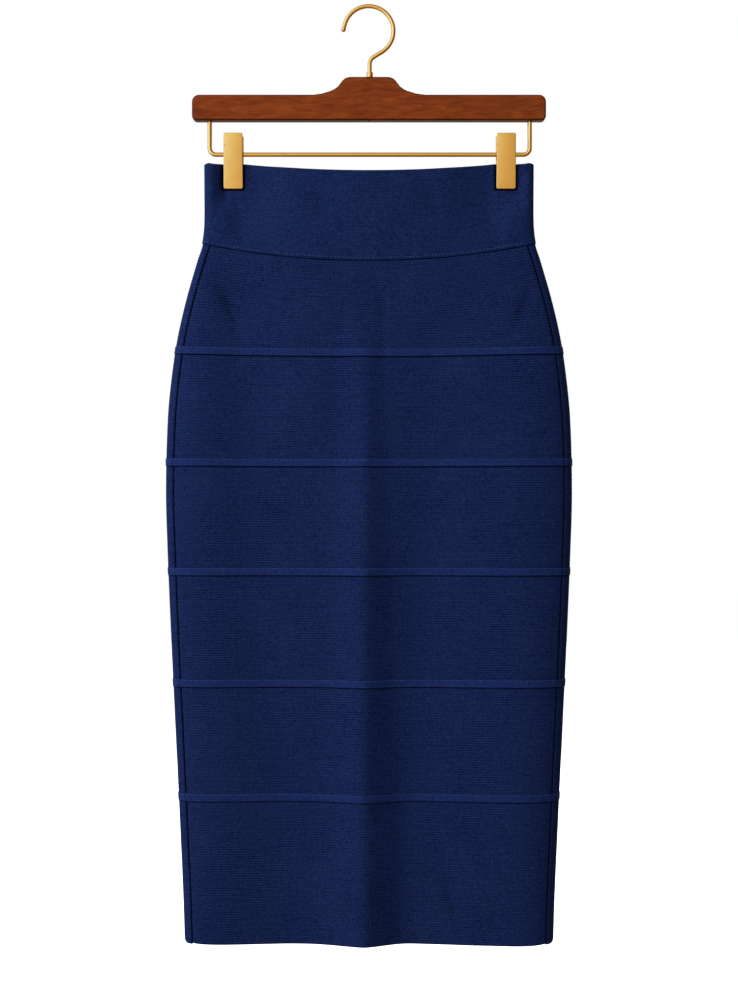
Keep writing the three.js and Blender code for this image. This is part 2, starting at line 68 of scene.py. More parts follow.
for name, (left, up, distance, width, height, power, tint) in LAMPS.items():
    a, e = math.radians(left), math.radians(up)
    away = Vector((-math.sin(a) * math.cos(e), -math.cos(a) * math.cos(e), math.sin(e)))
    lamp = bpy.data.lights.new(name, "AREA")
    lamp.shape = "RECTANGLE"
    lamp.size = width
    lamp.size_y = height
    lamp.energy = power
    lamp.color = tint
    holder = bpy.data.objects.new(name, lamp)
    holder.location = LAMPS_AIM_AT + away * distance
    holder.rotation_mode = "QUATERNION"
    holder.rotation_quaternion = away.to_track_quat("Z", "Y")
    holder.visible_glossy = False
    bpy.context.scene.collection.objects.link(holder)


def feed(tree, node, inputs):
    """Gives inputs of a shader node a plain value each, or what another node gives."""
    for socket, value in inputs.items():
        if isinstance(value, bpy.types.Node):
            value = value.outputs[0]
        if isinstance(value, bpy.types.NodeSocket):
            tree.links.new(value, node.inputs[socket])
        else:
            node.inputs[socket].default_value = value


def add_node(tree, kind, inputs, **settings):
    """A new shader node of a kind, with its settings and what feeds it."""
    node = tree.nodes.new("ShaderNode" + kind)
    for name, value in settings.items():
        setattr(node, name, value)
    feed(tree, node, inputs)
    return node


def add_shades(tree, share, *stops):
    """A ramp of colours through its stops, each a position and a colour."""
    ramp = add_node(tree, "ValToRGB", {"Fac": share})
    for element, (position, colour) in zip(ramp.color_ramp.elements, (stops[0], stops[-1])):
        element.position = position
        element.color = (*colour, 1.0)
    for position, colour in stops[1:-1]:
        ramp.color_ramp.elements.new(position).color = (*colour, 1.0)
    return ramp


room = bpy.data.worlds.new("room")
room.use_nodes = True
room.cycles.sampling_method = "NONE"
bpy.context.scene.world = room
tree = room.node_tree
tree.nodes.clear()
ray = add_node(tree, "LightPath", {})
way = add_node(tree, "TexCoord", {}).outputs["Generated"]
to_window = add_node(tree, "VectorMath", {0: way, 1: (-0.50, -0.50, 0.70)}, operation="DOT_PRODUCT")
wall_shade = add_node(tree, "MapRange", {
    "Value": to_window.outputs["Value"], "From Min": -0.7, "From Max": 0.9, "To Min": 0.12, "To Max": 0.42},
    interpolation_type="SMOOTHSTEP")
walls = add_node(tree, "Background", {"Strength": wall_shade})
window_side = add_node(tree, "VectorMath", {0: way, 1: (-0.755, -0.605, 0.25)}, operation="DOT_PRODUCT")
half_way = add_node(tree, "MapRange", {"Value": window_side.outputs["Value"], "From Min": -1.0})
front_and_sides = add_shades(
    tree, half_way, (0.30, (0.060, 0.030, 0.004)), (0.55, (0.130, 0.095, 0.04)),
    (0.77, (0.230, 0.195, 0.135)), (0.85, (0.318, 0.318, 0.29)), (0.94, (0.380, 0.540, 1.0)))
back_side = add_node(tree, "SeparateXYZ", {"Vector": way})
back_share = add_node(tree, "MapRange", {"Value": back_side.outputs["Y"], "From Min": 0.6, "From Max": 0.95})
whole_room = add_node(tree, "VectorMath", {0: (0.24, 0.22, 0.185), 1: back_share, 2: front_and_sides},
                      operation="MULTIPLY_ADD")
mirrored = add_node(tree, "Background", {"Color": whole_room, "Strength": 3.0})
matt_or_mirrored = add_node(tree, "MixShader", {"Fac": ray.outputs["Is Glossy Ray"], 1: walls, 2: mirrored})
paper = add_node(tree, "Background", {"Color": (1.0, 1.0, 1.0, 1.0)})
room_or_paper = add_node(tree, "MixShader", {
    "Fac": ray.outputs["Is Camera Ray"], 1: matt_or_mirrored, 2: paper})
add_node(tree, "OutputWorld", {"Surface": room_or_paper})

bpy.ops.object.select_all(action="DESELECT")
bpy.ops.mesh.primitive_plane_add(size=16.0, location=(0.0, 0.0, -1.3))
floor = bpy.context.object
floor.name = "floor"
floor_paint = bpy.data.materials.new("white_floor")
floor_paint.use_nodes = True
feed(floor_paint.node_tree, floor_paint.node_tree.nodes["Principled BSDF"], {
    "Base Color": (0.85, 0.85, 0.85, 1.0), "Roughness": 0.9,
    "Emission Color": (1.0, 1.0, 1.0, 1.0), "Emission Strength": 1.0})
floor.data.materials.append(floor_paint)
floor.visible_diffuse = False
floor.visible_glossy = False


# The hook. One round brass-plated wire, drawn to 4.2 mm and bent cold: a straight shank that is set in the
# wood, a short bend, and the round part that a rail carries. Its tip is straight and upset to a smooth knob.
HOOK_WIRE = 0.0042
HOOK_RADIUS = 0.0248
HOOK_CENTRE = (-0.0003, 0.0, HOOK_WIRE / 2 - HOOK_RADIUS)
HOOK_TIP_ANGLE = 165.0
HOOK_NECK_ANGLE = -58.0
# The straight tip and its knob: steps along it, and how the wire grows at each
KNOB = ((0.0038, 1.0), (0.0004, 1.08), (0.0006, 1.05), (0.0012, 0.96), (0.0009, 0.78), (0.0005, 0.55))
SHANK_X = 0.0007
SHANK_FOOT = -0.0837
NECK_BEND = 0.008


def new_finish(name):
    """A new material, its tree of nodes and the place on the piece, which its patterns follow."""
    finish = bpy.data.materials.new(name)
    finish.use_nodes = True
    tree = finish.node_tree
    return finish, tree, add_node(tree, "TexCoord", {}).outputs["Object"]


def brass(name, tint, roughness, brushing):
    """Warm plated metal, a little uneven, with fine marks of the polishing that run along one axis."""
    finish, tree, place = new_finish(name)
    marks = add_node(tree, "Mapping", {"Vector": place, "Scale": brushing})
    fine = add_node(tree, "TexNoise", {"Vector": marks, "Scale": 1.0, "Detail": 4.0})
    clouds = add_node(tree, "TexNoise", {"Vector": place, "Scale": 90.0, "Detail": 3.0})
    feed(tree, tree.nodes["Principled BSDF"], {
        "Metallic": 1.0,
        "Specular Tint": (0.62, 0.42, 0.16, 1.0),
        "Base Color": add_shades(tree, clouds, (0.3, [c * 0.92 for c in tint]), (0.7, tint)),
        "Roughness": add_node(tree, "MapRange", {"Value": fine, "From Min": 0.3, "From Max": 0.7,
                                                 "To Min": roughness - 0.04, "To Max": roughness + 0.05}),
        "Normal": add_node(tree, "Bump", {"Height": fine, "Strength": 0.12, "Distance": 0.0001}),
    })
    return finish


def lay_down_tools():
    """Leaves edit mode and lets go of everything, so that the next operator acts on its own piece alone."""
    if bpy.context.object is not None and bpy.context.object.mode == "EDIT":
        bpy.ops.object.mode_set(mode="OBJECT")
    bpy.ops.object.select_all(action="DESELECT")


def pick_up(piece):
    """Leaves edit mode and selects one piece alone, for the next operator."""
    lay_down_tools()
    piece.select_set(True)
    bpy.context.view_layer.objects.active = piece


def take_hold(piece, kind, test):
    """Selects, in edit mode, the faces, edges or corners of a piece that pass the test, and nothing else."""
    bpy.ops.mesh.select_mode(type={"faces": "FACE", "edges": "EDGE", "verts": "VERT"}[kind])
    bpy.ops.mesh.select_all(action="DESELECT")
    shape = bmesh.from_edit_mesh(piece.data)
    for part in getattr(shape, kind):
        part.select_set(test(part))
    shape.select_flush_mode()
    bmesh.update_edit_mesh(piece.data)


def draw_out(way):
    """Draws the selected end of a wire on by a step."""
    bpy.ops.mesh.extrude_region_move(TRANSFORM_OT_translate={"value": way})


def finish_rigid(piece, name, finish, nodes, angle=35.0):
    """Fixes a modelled piece in its place, smooths its round faces and gives it its finish."""
    if piece.mode == "EDIT":
        bpy.ops.mesh.select_all(action="SELECT")
        bpy.ops.mesh.normals_make_consistent(inside=False)
    pick_up(piece)
    bpy.ops.object.transform_apply(location=True, rotation=True, scale=True)
    bpy.ops.object.shade_smooth_by_angle(angle=math.radians(angle))
    piece.name = name
    piece.data.name = name
    piece.data.materials.clear()
    piece.data.materials.append(finish)
    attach(piece, "root")
    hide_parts(*nodes)


wire_brass = brass("polished_brass_wire", (0.90, 0.52, 0.13), 0.17, (900.0, 900.0, 900.0))

neck_lean = math.radians(90.0 + HOOK_NECK_ANGLE)
neck_top = (
    HOOK_CENTRE[0] + HOOK_RADIUS * math.cos(math.radians(HOOK_NECK_ANGLE)),
    HOOK_CENTRE[2] + HOOK_RADIUS * math.sin(math.radians(HOOK_NECK_ANGLE)),
)
bend_turn = math.pi / 2 - neck_lean
bend_end_x = SHANK_X + NECK_BEND * (1 - math.cos(bend_turn))
neck_run = (neck_top[0] - bend_end_x) / math.cos(neck_lean)
bend_z = neck_top[1] - neck_run * math.sin(neck_lean) - NECK_BEND * math.sin(bend_turn)

lay_down_tools()
bpy.ops.mesh.primitive_circle_add(
    vertices=20, radius=HOOK_WIRE / 2, fill_type="NGON", location=(SHANK_X, 0.0, SHANK_FOOT))
hook = bpy.context.object
bpy.ops.object.mode_set(mode="EDIT")
bpy.ops.mesh.select_all(action="SELECT")
draw_out((0.0, 0.0, bend_z - SHANK_FOOT))
bpy.ops.mesh.spin(steps=12, angle=bend_turn, center=(SHANK_X + NECK_BEND, 0.0, bend_z), axis=(0, -1, 0))
draw_out((neck_run * math.cos(neck_lean), 0.0, neck_run * math.sin(neck_lean)))
bpy.ops.mesh.spin(
    steps=72, angle=math.radians(HOOK_TIP_ANGLE - HOOK_NECK_ANGLE), center=HOOK_CENTRE, axis=(0, 1, 0))
tip_angle = math.radians(HOOK_TIP_ANGLE)
tip = Vector((
    HOOK_CENTRE[0] + HOOK_RADIUS * math.cos(tip_angle), 0.0,
    HOOK_CENTRE[2] + HOOK_RADIUS * math.sin(tip_angle)))
tip_way = Vector((-math.sin(tip_angle), 0.0, math.cos(tip_angle)))
for step, growth in KNOB:
    tip = tip + tip_way * step
    draw_out(tip_way * step)
    bpy.ops.transform.resize(value=(growth, growth, growth), center_override=tip)
finish_rigid(hook, "brass_hook", wire_brass, ["hook"])


# The collar. A turned brass ring with softened edges that stands on the wood and steadies the shank.
COLLAR_RADIUS = 0.0032
COLLAR_FOOT = -0.0694
COLLAR_TOP = -0.0642


def reshape(piece, kind, **settings):
    """Applies a modifier of a kind, with its settings, to a piece."""
    pick_up(piece)
    modifier = piece.modifiers.new(kind, kind)
    for name, value in settings.items():
        setattr(modifier, name, value)
    bpy.ops.object.modifier_apply(modifier=modifier.name)


lay_down_tools()
bpy.ops.mesh.primitive_cylinder_add(
    vertices=36, radius=COLLAR_RADIUS, depth=COLLAR_TOP - COLLAR_FOOT,
    location=(SHANK_X, 0.0, (COLLAR_TOP + COLLAR_FOOT) / 2))
collar = bpy.context.object
bpy.ops.object.mode_set(mode="EDIT")
take_hold(collar, "faces", lambda face: abs(face.normal.z) > 0.9)
bpy.ops.mesh.inset(thickness=COLLAR_RADIUS - HOOK_WIRE / 2 - 0.0001)
bpy.ops.mesh.delete(type="FACE")
take_hold(collar, "edges", lambda edge: edge.is_boundary)
bpy.ops.mesh.bridge_edge_loops()
reshape(collar, "BEVEL", width=0.0006, segments=4, limit_method="ANGLE")
finish_rigid(collar, "brass_collar", wire_brass, ["collar"])


# The wooden bar. A board of cherry, sawn to its outline with a raised head for the hook, its edges rounded
# over, drilled for the shank and the clip bar, stained red-brown and varnished.
WOOD_HALF_LENGTH = 0.1766
WOOD_TOP = -0.0875
WOOD_FOOT = -0.1132
WOOD_HEAD_TOP = -0.0697
WOOD_DEPTH = 0.014
WOOD_EDGE = 0.0022
WOOD_CORNER_TOP = 0.0070
WOOD_CORNER_FOOT = 0.0050
# The sweep up to the head: distance from the middle, height
SHOULDER = ((0.1650, -0.0875), (0.0700, -0.0875), (0.0560, -0.0875), (0.0470, -0.0863), (0.0385, -0.0837),
            (0.0345, -0.0818), (0.0310, -0.0792), (0.0286, -0.0762), (0.0265, -0.0732), (0.0236, -0.0709),
            (0.0200, -0.0698), (0.0165, -0.0697))
BAR_WIRE = 0.0044
BAR_X = 0.0007
BAR_HALF_LENGTH = 0.160
BAR_IN_WOOD = 0.012

varnished_cherry, tree, place = new_finish("varnished_cherry")
along_board = add_node(tree, "Mapping", {
    "Vector": place, "Scale": (9.0, 26.0, 46.0), "Rotation": (0.0, math.radians(1.6), 0.0)})
figure = add_node(tree, "TexNoise", {
    "Vector": along_board, "Scale": 2.6, "Detail": 7.0, "Roughness": 0.62, "Distortion": 1.8})
fibre_place = add_node(tree, "Mapping", {"Vector": place, "Scale": (64.0, 420.0, 640.0)})
fibre = add_node(tree, "TexNoise", {"Vector": fibre_place, "Scale": 1.0, "Detail": 3.0})
stain = add_shades(tree, figure, (0.26, (0.125, 0.0205, 0.0034)), (0.5, (0.192, 0.0355, 0.0056)),
                   (0.78, (0.275, 0.056, 0.0093)))
pores = add_node(tree, "MapRange", {
    "Value": fibre, "From Min": 0.30, "From Max": 0.66, "To Min": 0.78, "To Max": 1.10})
grained = add_node(tree, "VectorMath", {0: stain, "Scale": pores}, operation="SCALE")
# The colour is darker on the rounded edges and the narrow faces, which lie behind the flat of the faces
in_board = add_node(tree, "SeparateXYZ", {"Vector": place})
from_middle = add_node(tree, "Math", {0: in_board.outputs["Y"]}, operation="ABSOLUTE")
edge_darkening = add_node(tree, "MapRange", {
    "Value": from_middle, "From Min": WOOD_DEPTH / 2 - 0.00040, "From Max": WOOD_DEPTH / 2 - 0.00006,
    "To Min": 0.42, "To Max": 1.0})
feed(tree, tree.nodes["Principled BSDF"], {
    "Specular IOR Level": 0.06, "Coat Weight": 0.05, "Coat Roughness": 0.22, "Coat IOR": 1.45,
    "Base Color": add_node(tree, "VectorMath", {0: grained, "Scale": edge_darkening}, operation="SCALE"),
    "Roughness": add_node(tree, "MapRange", {"Value": fibre, "To Min": 0.34, "To Max": 0.50}),
    "Normal": add_node(tree, "Bump", {"Height": fibre, "Strength": 0.10, "Distance": 0.0002}),
})

lay_down_tools()
bpy.ops.mesh.primitive_cube_add(size=1.0, location=(0.0, 0.0, (WOOD_TOP + WOOD_FOOT) / 2))
board = bpy.context.object
board.scale = (2 * WOOD_HALF_LENGTH, WOOD_DEPTH, WOOD_TOP - WOOD_FOOT)
bpy.ops.object.transform_apply(location=True, rotation=True, scale=True)
bpy.ops.object.mode_set(mode="EDIT")
for side in (-1, 1):
    for distance, height in SHOULDER:
        bpy.ops.mesh.select_all(action="SELECT")
        bpy.ops.mesh.bisect(plane_co=(side * distance, 0.0, 0.0), plane_no=(1.0, 0.0, 0.0))
for distance, height in SHOULDER:
    take_hold(board, "verts", lambda vert: vert.co.z > WOOD_FOOT + 0.001
              and abs(abs(vert.co.x) - distance) < 1e-5)
    bpy.ops.transform.translate(value=(0.0, 0.0, height - WOOD_TOP))
for corner_z, radius in ((WOOD_TOP, WOOD_CORNER_TOP), (WOOD_FOOT, WOOD_CORNER_FOOT)):
    take_hold(board, "edges", lambda edge: all(
        abs(abs(vert.co.x) - WOOD_HALF_LENGTH) < 1e-5 and abs(vert.co.z - corner_z) < 1e-5
        for vert in edge.verts))
    bpy.ops.mesh.bevel(offset=radius, segments=8, affect="EDGES", offset_type="OFFSET")
take_hold(board, "edges", lambda edge: abs(abs(edge.verts[0].co.y) - WOOD_DEPTH / 2) < 1e-5
          and abs(edge.verts[0].co.y - edge.verts[1].co.y) < 1e-5
          and edge.calc_face_angle(0.0) > math.radians(60))
bpy.ops.mesh.bevel(offset=WOOD_EDGE, segments=5, affect="EDGES", offset_type="OFFSET")
bpy.ops.object.mode_set(mode="OBJECT")


def drill_hole(piece, radius, place, depth, way):
    """Bores a round hole in a piece, along X or Z, and takes the drill away again."""
    lay_down_tools()
    turn = (0.0, math.radians(90), 0.0) if way == "X" else (0.0, 0.0, 0.0)
    bpy.ops.mesh.primitive_cylinder_add(
        vertices=24, radius=radius, depth=depth, location=place, rotation=turn)
    drill = bpy.context.object
    reshape(piece, "BOOLEAN", operation="DIFFERENCE", solver="EXACT", object=drill)
    bpy.data.objects.remove(drill)


SHANK_HOLE = HOOK_WIRE / 2 + 0.0003
BAR_HOLE = BAR_WIRE / 2 + 0.0003
PLUG_RADIUS = 0.0014
drill_hole(board, SHANK_HOLE, (SHANK_X, 0.0, (WOOD_HEAD_TOP + SHANK_FOOT) / 2),
           WOOD_HEAD_TOP - SHANK_FOOT + 0.0006, "Z")
for side in (-1, 1):
    drill_hole(board, BAR_HOLE, (BAR_X + side * BAR_HALF_LENGTH, 0.0, WOOD_FOOT + BAR_IN_WOOD / 2),
               BAR_IN_WOOD + 0.0006, "Z")
drill_hole(board, PLUG_RADIUS, (0.0, -0.0035, WOOD_FOOT), 0.004, "Z")
finish_rigid(board, "cherry_bar", varnished_cherry, ["wood_bar"], angle=32.0)
# The faces are planed flat: they take their shading from their own plane and not from their rounded edges
reshape(board, "WEIGHTED_NORMAL", weight=100, keep_sharp=True)


# The clip bar. One 4.4 mm brass-plated wire, bent to a wide U. Both ends are pushed into the underside of the
# wood, and the clips slide on its long lower run.
BAR_Z = -0.1464
BAR_BEND = 0.0065

bar_run = 2 * (BAR_HALF_LENGTH - BAR_BEND)
bar_drop = WOOD_FOOT + BAR_IN_WOOD - BAR_Z - BAR_BEND
lay_down_tools()
bpy.ops.mesh.primitive_circle_add(
    vertices=20, radius=BAR_WIRE / 2, fill_type="NGON",
    location=(BAR_X - BAR_HALF_LENGTH, 0.0, WOOD_FOOT + BAR_IN_WOOD))
clip_bar = bpy.context.object
bpy.ops.object.mode_set(mode="EDIT")
bpy.ops.mesh.select_all(action="SELECT")
draw_out((0.0, 0.0, -bar_drop))
for bend_x, run in ((BAR_X - bar_run / 2, (bar_run, 0.0, 0.0)), (BAR_X + bar_run / 2, (0.0, 0.0, bar_drop))):
    bpy.ops.mesh.spin(steps=12, angle=math.pi / 2, center=(bend_x, 0.0, BAR_Z + BAR_BEND), axis=(0, 1, 0))
    draw_out(run)
finish_rigid(clip_bar, "brass_clip_bar", wire_brass, ["clip_bar"])


# The clips. Each has two stamped and brushed brass-plated jaws, front and back, that turn on the bar by
# folded ears, and a coiled steel spring round the bar that shuts them on the waistband.
CLIP_X = 0.1361
CLIP_WIDTH = 0.0194
CLIP_TOP_WIDTH = 0.0190
CLIP_TOP = -0.1261
CLIP_FOOT = -0.1812
CLIP_PLATE = 0.0012
CLIP_SPREAD = 0.0050
CLIP_CORNER = 0.0019
JAW_FACE = 0.00325
EAR_RADIUS = 0.0044
EAR_THICKNESS = 0.0010
EAR_REACH = 0.0075
FRONT_EARS = 0.0087
BACK_EARS = 0.0074
SPRING_RADIUS = 0.0031
SPRING_WIRE = 0.0006
SPRING_LENGTH = 0.0114
SPRING_TURNS = 8

clip_brass = brass("brushed_brass_plate", (0.91, 0.52, 0.125), 0.30, (2600.0, 2600.0, 60.0))
spring_brass = brass("brass_spring_wire", (0.80, 0.56, 0.26), 0.28, (700.0, 700.0, 700.0))

for clip, clip_x in (("left", BAR_X - CLIP_X), ("right", BAR_X + CLIP_X)):
    for side, front, ears in (("front", -1, FRONT_EARS), ("back", 1, BACK_EARS)):
        lay_down_tools()
        plate_y = front * (JAW_FACE + CLIP_PLATE / 2)
        bpy.ops.mesh.primitive_cube_add(size=1.0, location=(clip_x, plate_y, (CLIP_TOP + CLIP_FOOT) / 2))
        jaw = bpy.context.object
        jaw.scale = (CLIP_WIDTH, CLIP_PLATE, CLIP_TOP - CLIP_FOOT)
        bpy.ops.object.transform_apply(location=True, rotation=True, scale=True)
        bpy.ops.object.mode_set(mode="EDIT")
        take_hold(jaw, "verts", lambda vert: vert.co.z > BAR_Z)
        bpy.ops.transform.translate(value=(0.0, front * CLIP_SPREAD, 0.0))
        bpy.ops.transform.resize(value=(CLIP_TOP_WIDTH / CLIP_WIDTH, 1.0, 1.0),
                                 center_override=(clip_x, 0.0, 0.0))
        take_hold(jaw, "edges", lambda edge: abs(edge.verts[0].co.y - edge.verts[1].co.y) > CLIP_PLATE / 2
                  and abs(edge.verts[0].co.z - edge.verts[1].co.z) < CLIP_PLATE)
        bpy.ops.mesh.bevel(offset=CLIP_CORNER, segments=5, affect="EDGES")
        reshape(jaw, "BEVEL", width=0.0007, segments=4, limit_method="ANGLE", angle_limit=math.radians(50))
        bar_share = (BAR_Z - CLIP_FOOT) / (CLIP_TOP - CLIP_FOOT)
        plate_at_bar = JAW_FACE + CLIP_SPREAD * bar_share
        for ear_x in (clip_x - ears, clip_x + ears):
            lay_down_tools()
            bpy.ops.mesh.primitive_cylinder_add(
                vertices=32, radius=EAR_RADIUS, depth=EAR_THICKNESS, location=(ear_x, 0.0, BAR_Z),
                rotation=(0.0, math.radians(90), 0.0))
            ear = bpy.context.object
            bpy.ops.object.transform_apply(location=True, rotation=True, scale=True)
            bpy.ops.object.mode_set(mode="EDIT")
            for up in (-1, 1):
                reach = plate_at_bar + up * CLIP_SPREAD * 0.2 - EAR_RADIUS * 0.7
                take_hold(ear, "verts", lambda vert: vert.co.y * front > EAR_RADIUS * 0.5
                          and (vert.co.z - BAR_Z) * up > 1e-5)
                bpy.ops.transform.translate(value=(0.0, front * reach, up * EAR_REACH))
            bpy.ops.object.mode_set(mode="OBJECT")
            ear.select_set(True)
            jaw.select_set(True)
            bpy.context.view_layer.objects.active = jaw
            bpy.ops.object.join()
            drill_hole(jaw, BAR_HOLE, (ear_x, 0.0, BAR_Z), EAR_THICKNESS * 2, "X")
        finish_rigid(jaw, f"clip_{side}_{clip}", clip_brass, [f"jaw_{side}_{clip}"])

    lay_down_tools()
    bpy.ops.mesh.primitive_circle_add(
        vertices=8, radius=SPRING_WIRE, fill_type="NOTHING", rotation=(math.radians(90), 0.0, 0.0),
        location=(clip_x - SPRING_LENGTH / 2, 0.0, BAR_Z + SPRING_RADIUS))
    spring = bpy.context.object
    bpy.context.scene.cursor.location = (clip_x - SPRING_LENGTH / 2, 0.0, BAR_Z)
    bpy.ops.object.transform_apply(location=False, rotation=True, scale=True)
    bpy.ops.object.origin_set(type="ORIGIN_CURSOR")
    reshape(spring, "SCREW", axis="X", angle=2 * math.pi, iterations=SPRING_TURNS, steps=20, render_steps=20,
            screw_offset=(SPRING_LENGTH - 2 * SPRING_WIRE) / SPRING_TURNS)
    bpy.ops.object.mode_set(mode="EDIT")
    take_hold(spring, "edges", lambda edge: edge.is_boundary)
    bpy.ops.mesh.fill_holes(sides=8)
    finish_rigid(spring, f"clip_spring_{clip}", spring_brass, [f"spring_{clip}"], angle=60.0)
bpy.context.scene.cursor.location = (0.0, 0.0, 0.0)


# The waistband. A deep band of doubled fine-ribbed navy knit, cut as a front and a back piece and joined at
# the two side seams. Its top edge is turned over, and it hangs a little between the clips.
WALL = 2.0
WAISTBAND_PROUD = 0.8
WAIST_EDGE_RADIUS = 1.3
WAIST_STITCHES_UP = 2.1
PINCH_DEPTH = 1.6
# The gap between two pieces at a seam, at the waist seam, and where the cloth is pressed shut: on the inside
# of every side seam and on both sides of the band's
GAP = 0.3
WAIST_GAP = 0.06
SHUT_GAP = 0.02
SEAM_INSET = 8.4
BAND_RIB_PITCH = 2.3
BAND_RIB_DEPTH = 0.36
ROWS_A_RIB = 4
DEEPEST_INSIDE = 0.9
WAIST_EDGE_Z = -156.0
WAIST_EDGE_SAG = 7.6
WAIST_EDGE_HALF = 126.0
# A cross seam: height at the sides, and how far its middle hangs below them
WAIST_SEAM = (-235.7, 17.2)
# Each clip presses the cloth flat over this half width, down to this height, and less and less beyond:
# towards the middle of the skirt, towards its side, and below the clip on either hand
PRESS_HALF, PRESS_INWARD, PRESS_OUTWARD, PRESS_FOOT = 11.5, 50.0, 12.0, -184.0
PRESS_BELOW_INSIDE, PRESS_BELOW_OUTSIDE = 66.0, 26.0

# The skirt's outer face in millimetres: height, half width, depth at the front, at the back, side fold radius
FORM = np.array((
    (-141.7, 164.3, 4.5, 4.5, 4.0), (-196.7, 163.9, 6.0, 6.0, 4.6), (-219.7, 164.3, 7.5, 7.6, 5.2),
    (-237.7, 166.8, 8.8, 9.0, 5.6), (-251.7, 171.4, 9.8, 10.2, 6.0), (-291.7, 182.9, 11.8, 12.4, 6.6),
    (-331.7, 192.0, 13.4, 14.0, 7.2), (-371.7, 197.8, 14.6, 15.2, 7.7), (-411.7, 201.4, 15.4, 16.0, 8.1),
    (-481.7, 203.2, 16.2, 16.8, 8.6), (-541.7, 201.6, 16.4, 17.0, 8.9), (-631.7, 197.9, 16.2, 17.0, 9.0),
    (-731.7, 193.1, 15.8, 16.8, 9.0), (-831.7, 188.4, 15.5, 16.6, 8.9), (-891.7, 185.7, 15.4, 16.5, 8.8),
    (-940.0, 184.2, 15.4, 16.5, 8.8)))
FORM_COLUMNS = {"half_width": 1, "front": 2, "back": 3, "fold": 4}

# Where the waist gapes: top, foot, width from the middle, radius of its round middle, rise at the front, back
MOUTH = (-150.0, -262.0, 118.0, 60.0, 6.5, 7.0)
# The large folds: top, foot, crest at the top and foot, width to the left at both, to the right at both,
# radius of the crest, rise
FOLDS = {
    "front": (
        (-300, -940, -3, -6, 22, 49, 14, 39, 6, 11.6), (-185, -940, -142, -76, 20, 66, 60, 72, 18, -6.0),
        (-300, -940, 60, 38, 40, 28, 54, 52, 14, -6.0), (-300, -940, 148, 154, 60, 68, 44, 58, 18, 6.5)),
    "back": (
        (-310, -940, 40, 56, 26, 50, 38, 62, 9, 10.5), (-420, -940, -76, -64, 30, 60, 24, 40, 9, 8.0),
        (-190, -940, 141, 120, 58, 54, 20, 60, 16, -5.5), (-260, -940, -132, -126, 40, 52, 40, 44, 16, -4.5)),
}
FOLD_FULLNESS = 1.6
FOLD_START = 0.5
FOLD_LEAD = 0.08
# Small creases, given one by one: from a point to a point on the face (x, z), half width, rise
CREASES = {
    "front": (
        ((-147, -144), (-146, -200), 9, -1.2), ((-122, -186), (-104, -226), 8, -0.5),
        ((121, -160), (117, -222), 11, -0.5), ((147, -170), (157, -157), 4, 0.7),
        ((-60, -166), (-44, -214), 13, -0.6), ((52, -168), (66, -222), 14, -0.7),
        ((-158, -262), (-128, -330), 13, -0.9), ((163, -268), (138, -334), 12, -0.8),
        ((-20, -262), (-6, -352), 12, 0.8), ((6, -262), (14, -350), 11, -0.7),
        ((-186, -370), (-150, -384), 8, -0.6), ((188, -420), (156, -436), 9, -0.6),
        ((-120, -480), (-70, -520), 16, -0.7), ((96, -600), (140, -640), 18, 0.6),
        ((-150, -700), (-110, -742), 15, 0.6), ((70, -840), (84, -930), 13, -0.8),
        ((-30, -860), (-26, -932), 9, 0.7), ((118, -880), (122, -932), 10, -0.6)),
    "back": (
        ((-149, -170), (-157, -230), 6, -1.3), ((149, -168), (156, -234), 6, -1.3),
        ((-118, -188), (-100, -230), 8, -0.9), ((120, -186), (108, -228), 7, -0.8),
        ((30, -164), (20, -220), 12, -0.7), ((158, -262), (130, -326), 13, -0.9),
        ((-164, -266), (-140, -330), 12, -0.8), ((90, -470), (136, -512), 16, -0.7),
        ((-186, -440), (-150, -452), 9, -0.6), ((-150, -640), (-112, -684), 15, 0.6),
        ((0, -700), (10, -790), 14, -0.8), ((-20, -850), (-26, -932), 12, -0.9),
        ((120, -870), (130, -932), 11, 0.7)),
}


def form_at(column, z):
    """One measure of the form at heights z, on a smooth curve through its rows."""
    heights, values = FORM[:, 0], FORM[:, FORM_COLUMNS[column]]
    here = 1 + np.searchsorted(-heights[2:-1], -z, side="left")
    following = here + 1
    after = np.minimum(here + 2, len(heights) - 1)
    span = heights[following] - heights[here]
    t = np.minimum(1.0, (z - heights[here]) / span)
    slope_here = (values[following] - values[here - 1]) / (heights[following] - heights[here - 1]) * span
    slope_next = (values[after] - values[here]) / (heights[after] - heights[here]) * span
    smooth = ((2 * t**3 - 3 * t**2 + 1) * values[here] + (t**3 - 2 * t**2 + t) * slope_here
              + (3 * t**2 - 2 * t**3) * values[following] + (t**3 - t**2) * slope_next)
    u = (z - heights[0]) / (heights[1] - heights[0])
    straight = values[0] + (values[1] - values[0]) * u
    return np.where(z > heights[1], straight, smooth)


def ease(value, start, end):
    """A soft step from 0 at start to 1 at end."""
    t = np.clip((value - start) / (end - start), 0.0, 1.0)
    return t * t * (3 - 2 * t)


def groove(distance, width):
    """The section of a soft groove or ridge, 1 at its middle and 0 well away from it."""
    return np.exp(-((distance / width) ** 2))


def rounded_over(distance, radius):
    """The section of a rounded edge: 1 at its very end and 0 from its radius on."""
    return 1 - np.sqrt(np.clip(1 - (1 - np.clip(distance / radius, 0, 1)) ** 2, 0, 1))


def off_fold(x, z):
    """0 on a side fold of the skirt, rising to 1 a few millimetres from it."""
    return ease(form_at("half_width", z) - np.abs(x), 0.2, 4.2)


def crest_share(away, crest, width):
    """How high a rounded crest still is at a distance from it, from 1 to 0."""
    distance = np.minimum(1.0, (np.hypot(away, crest) - crest) / width)
    return (1 - distance) ** FOLD_FULLNESS


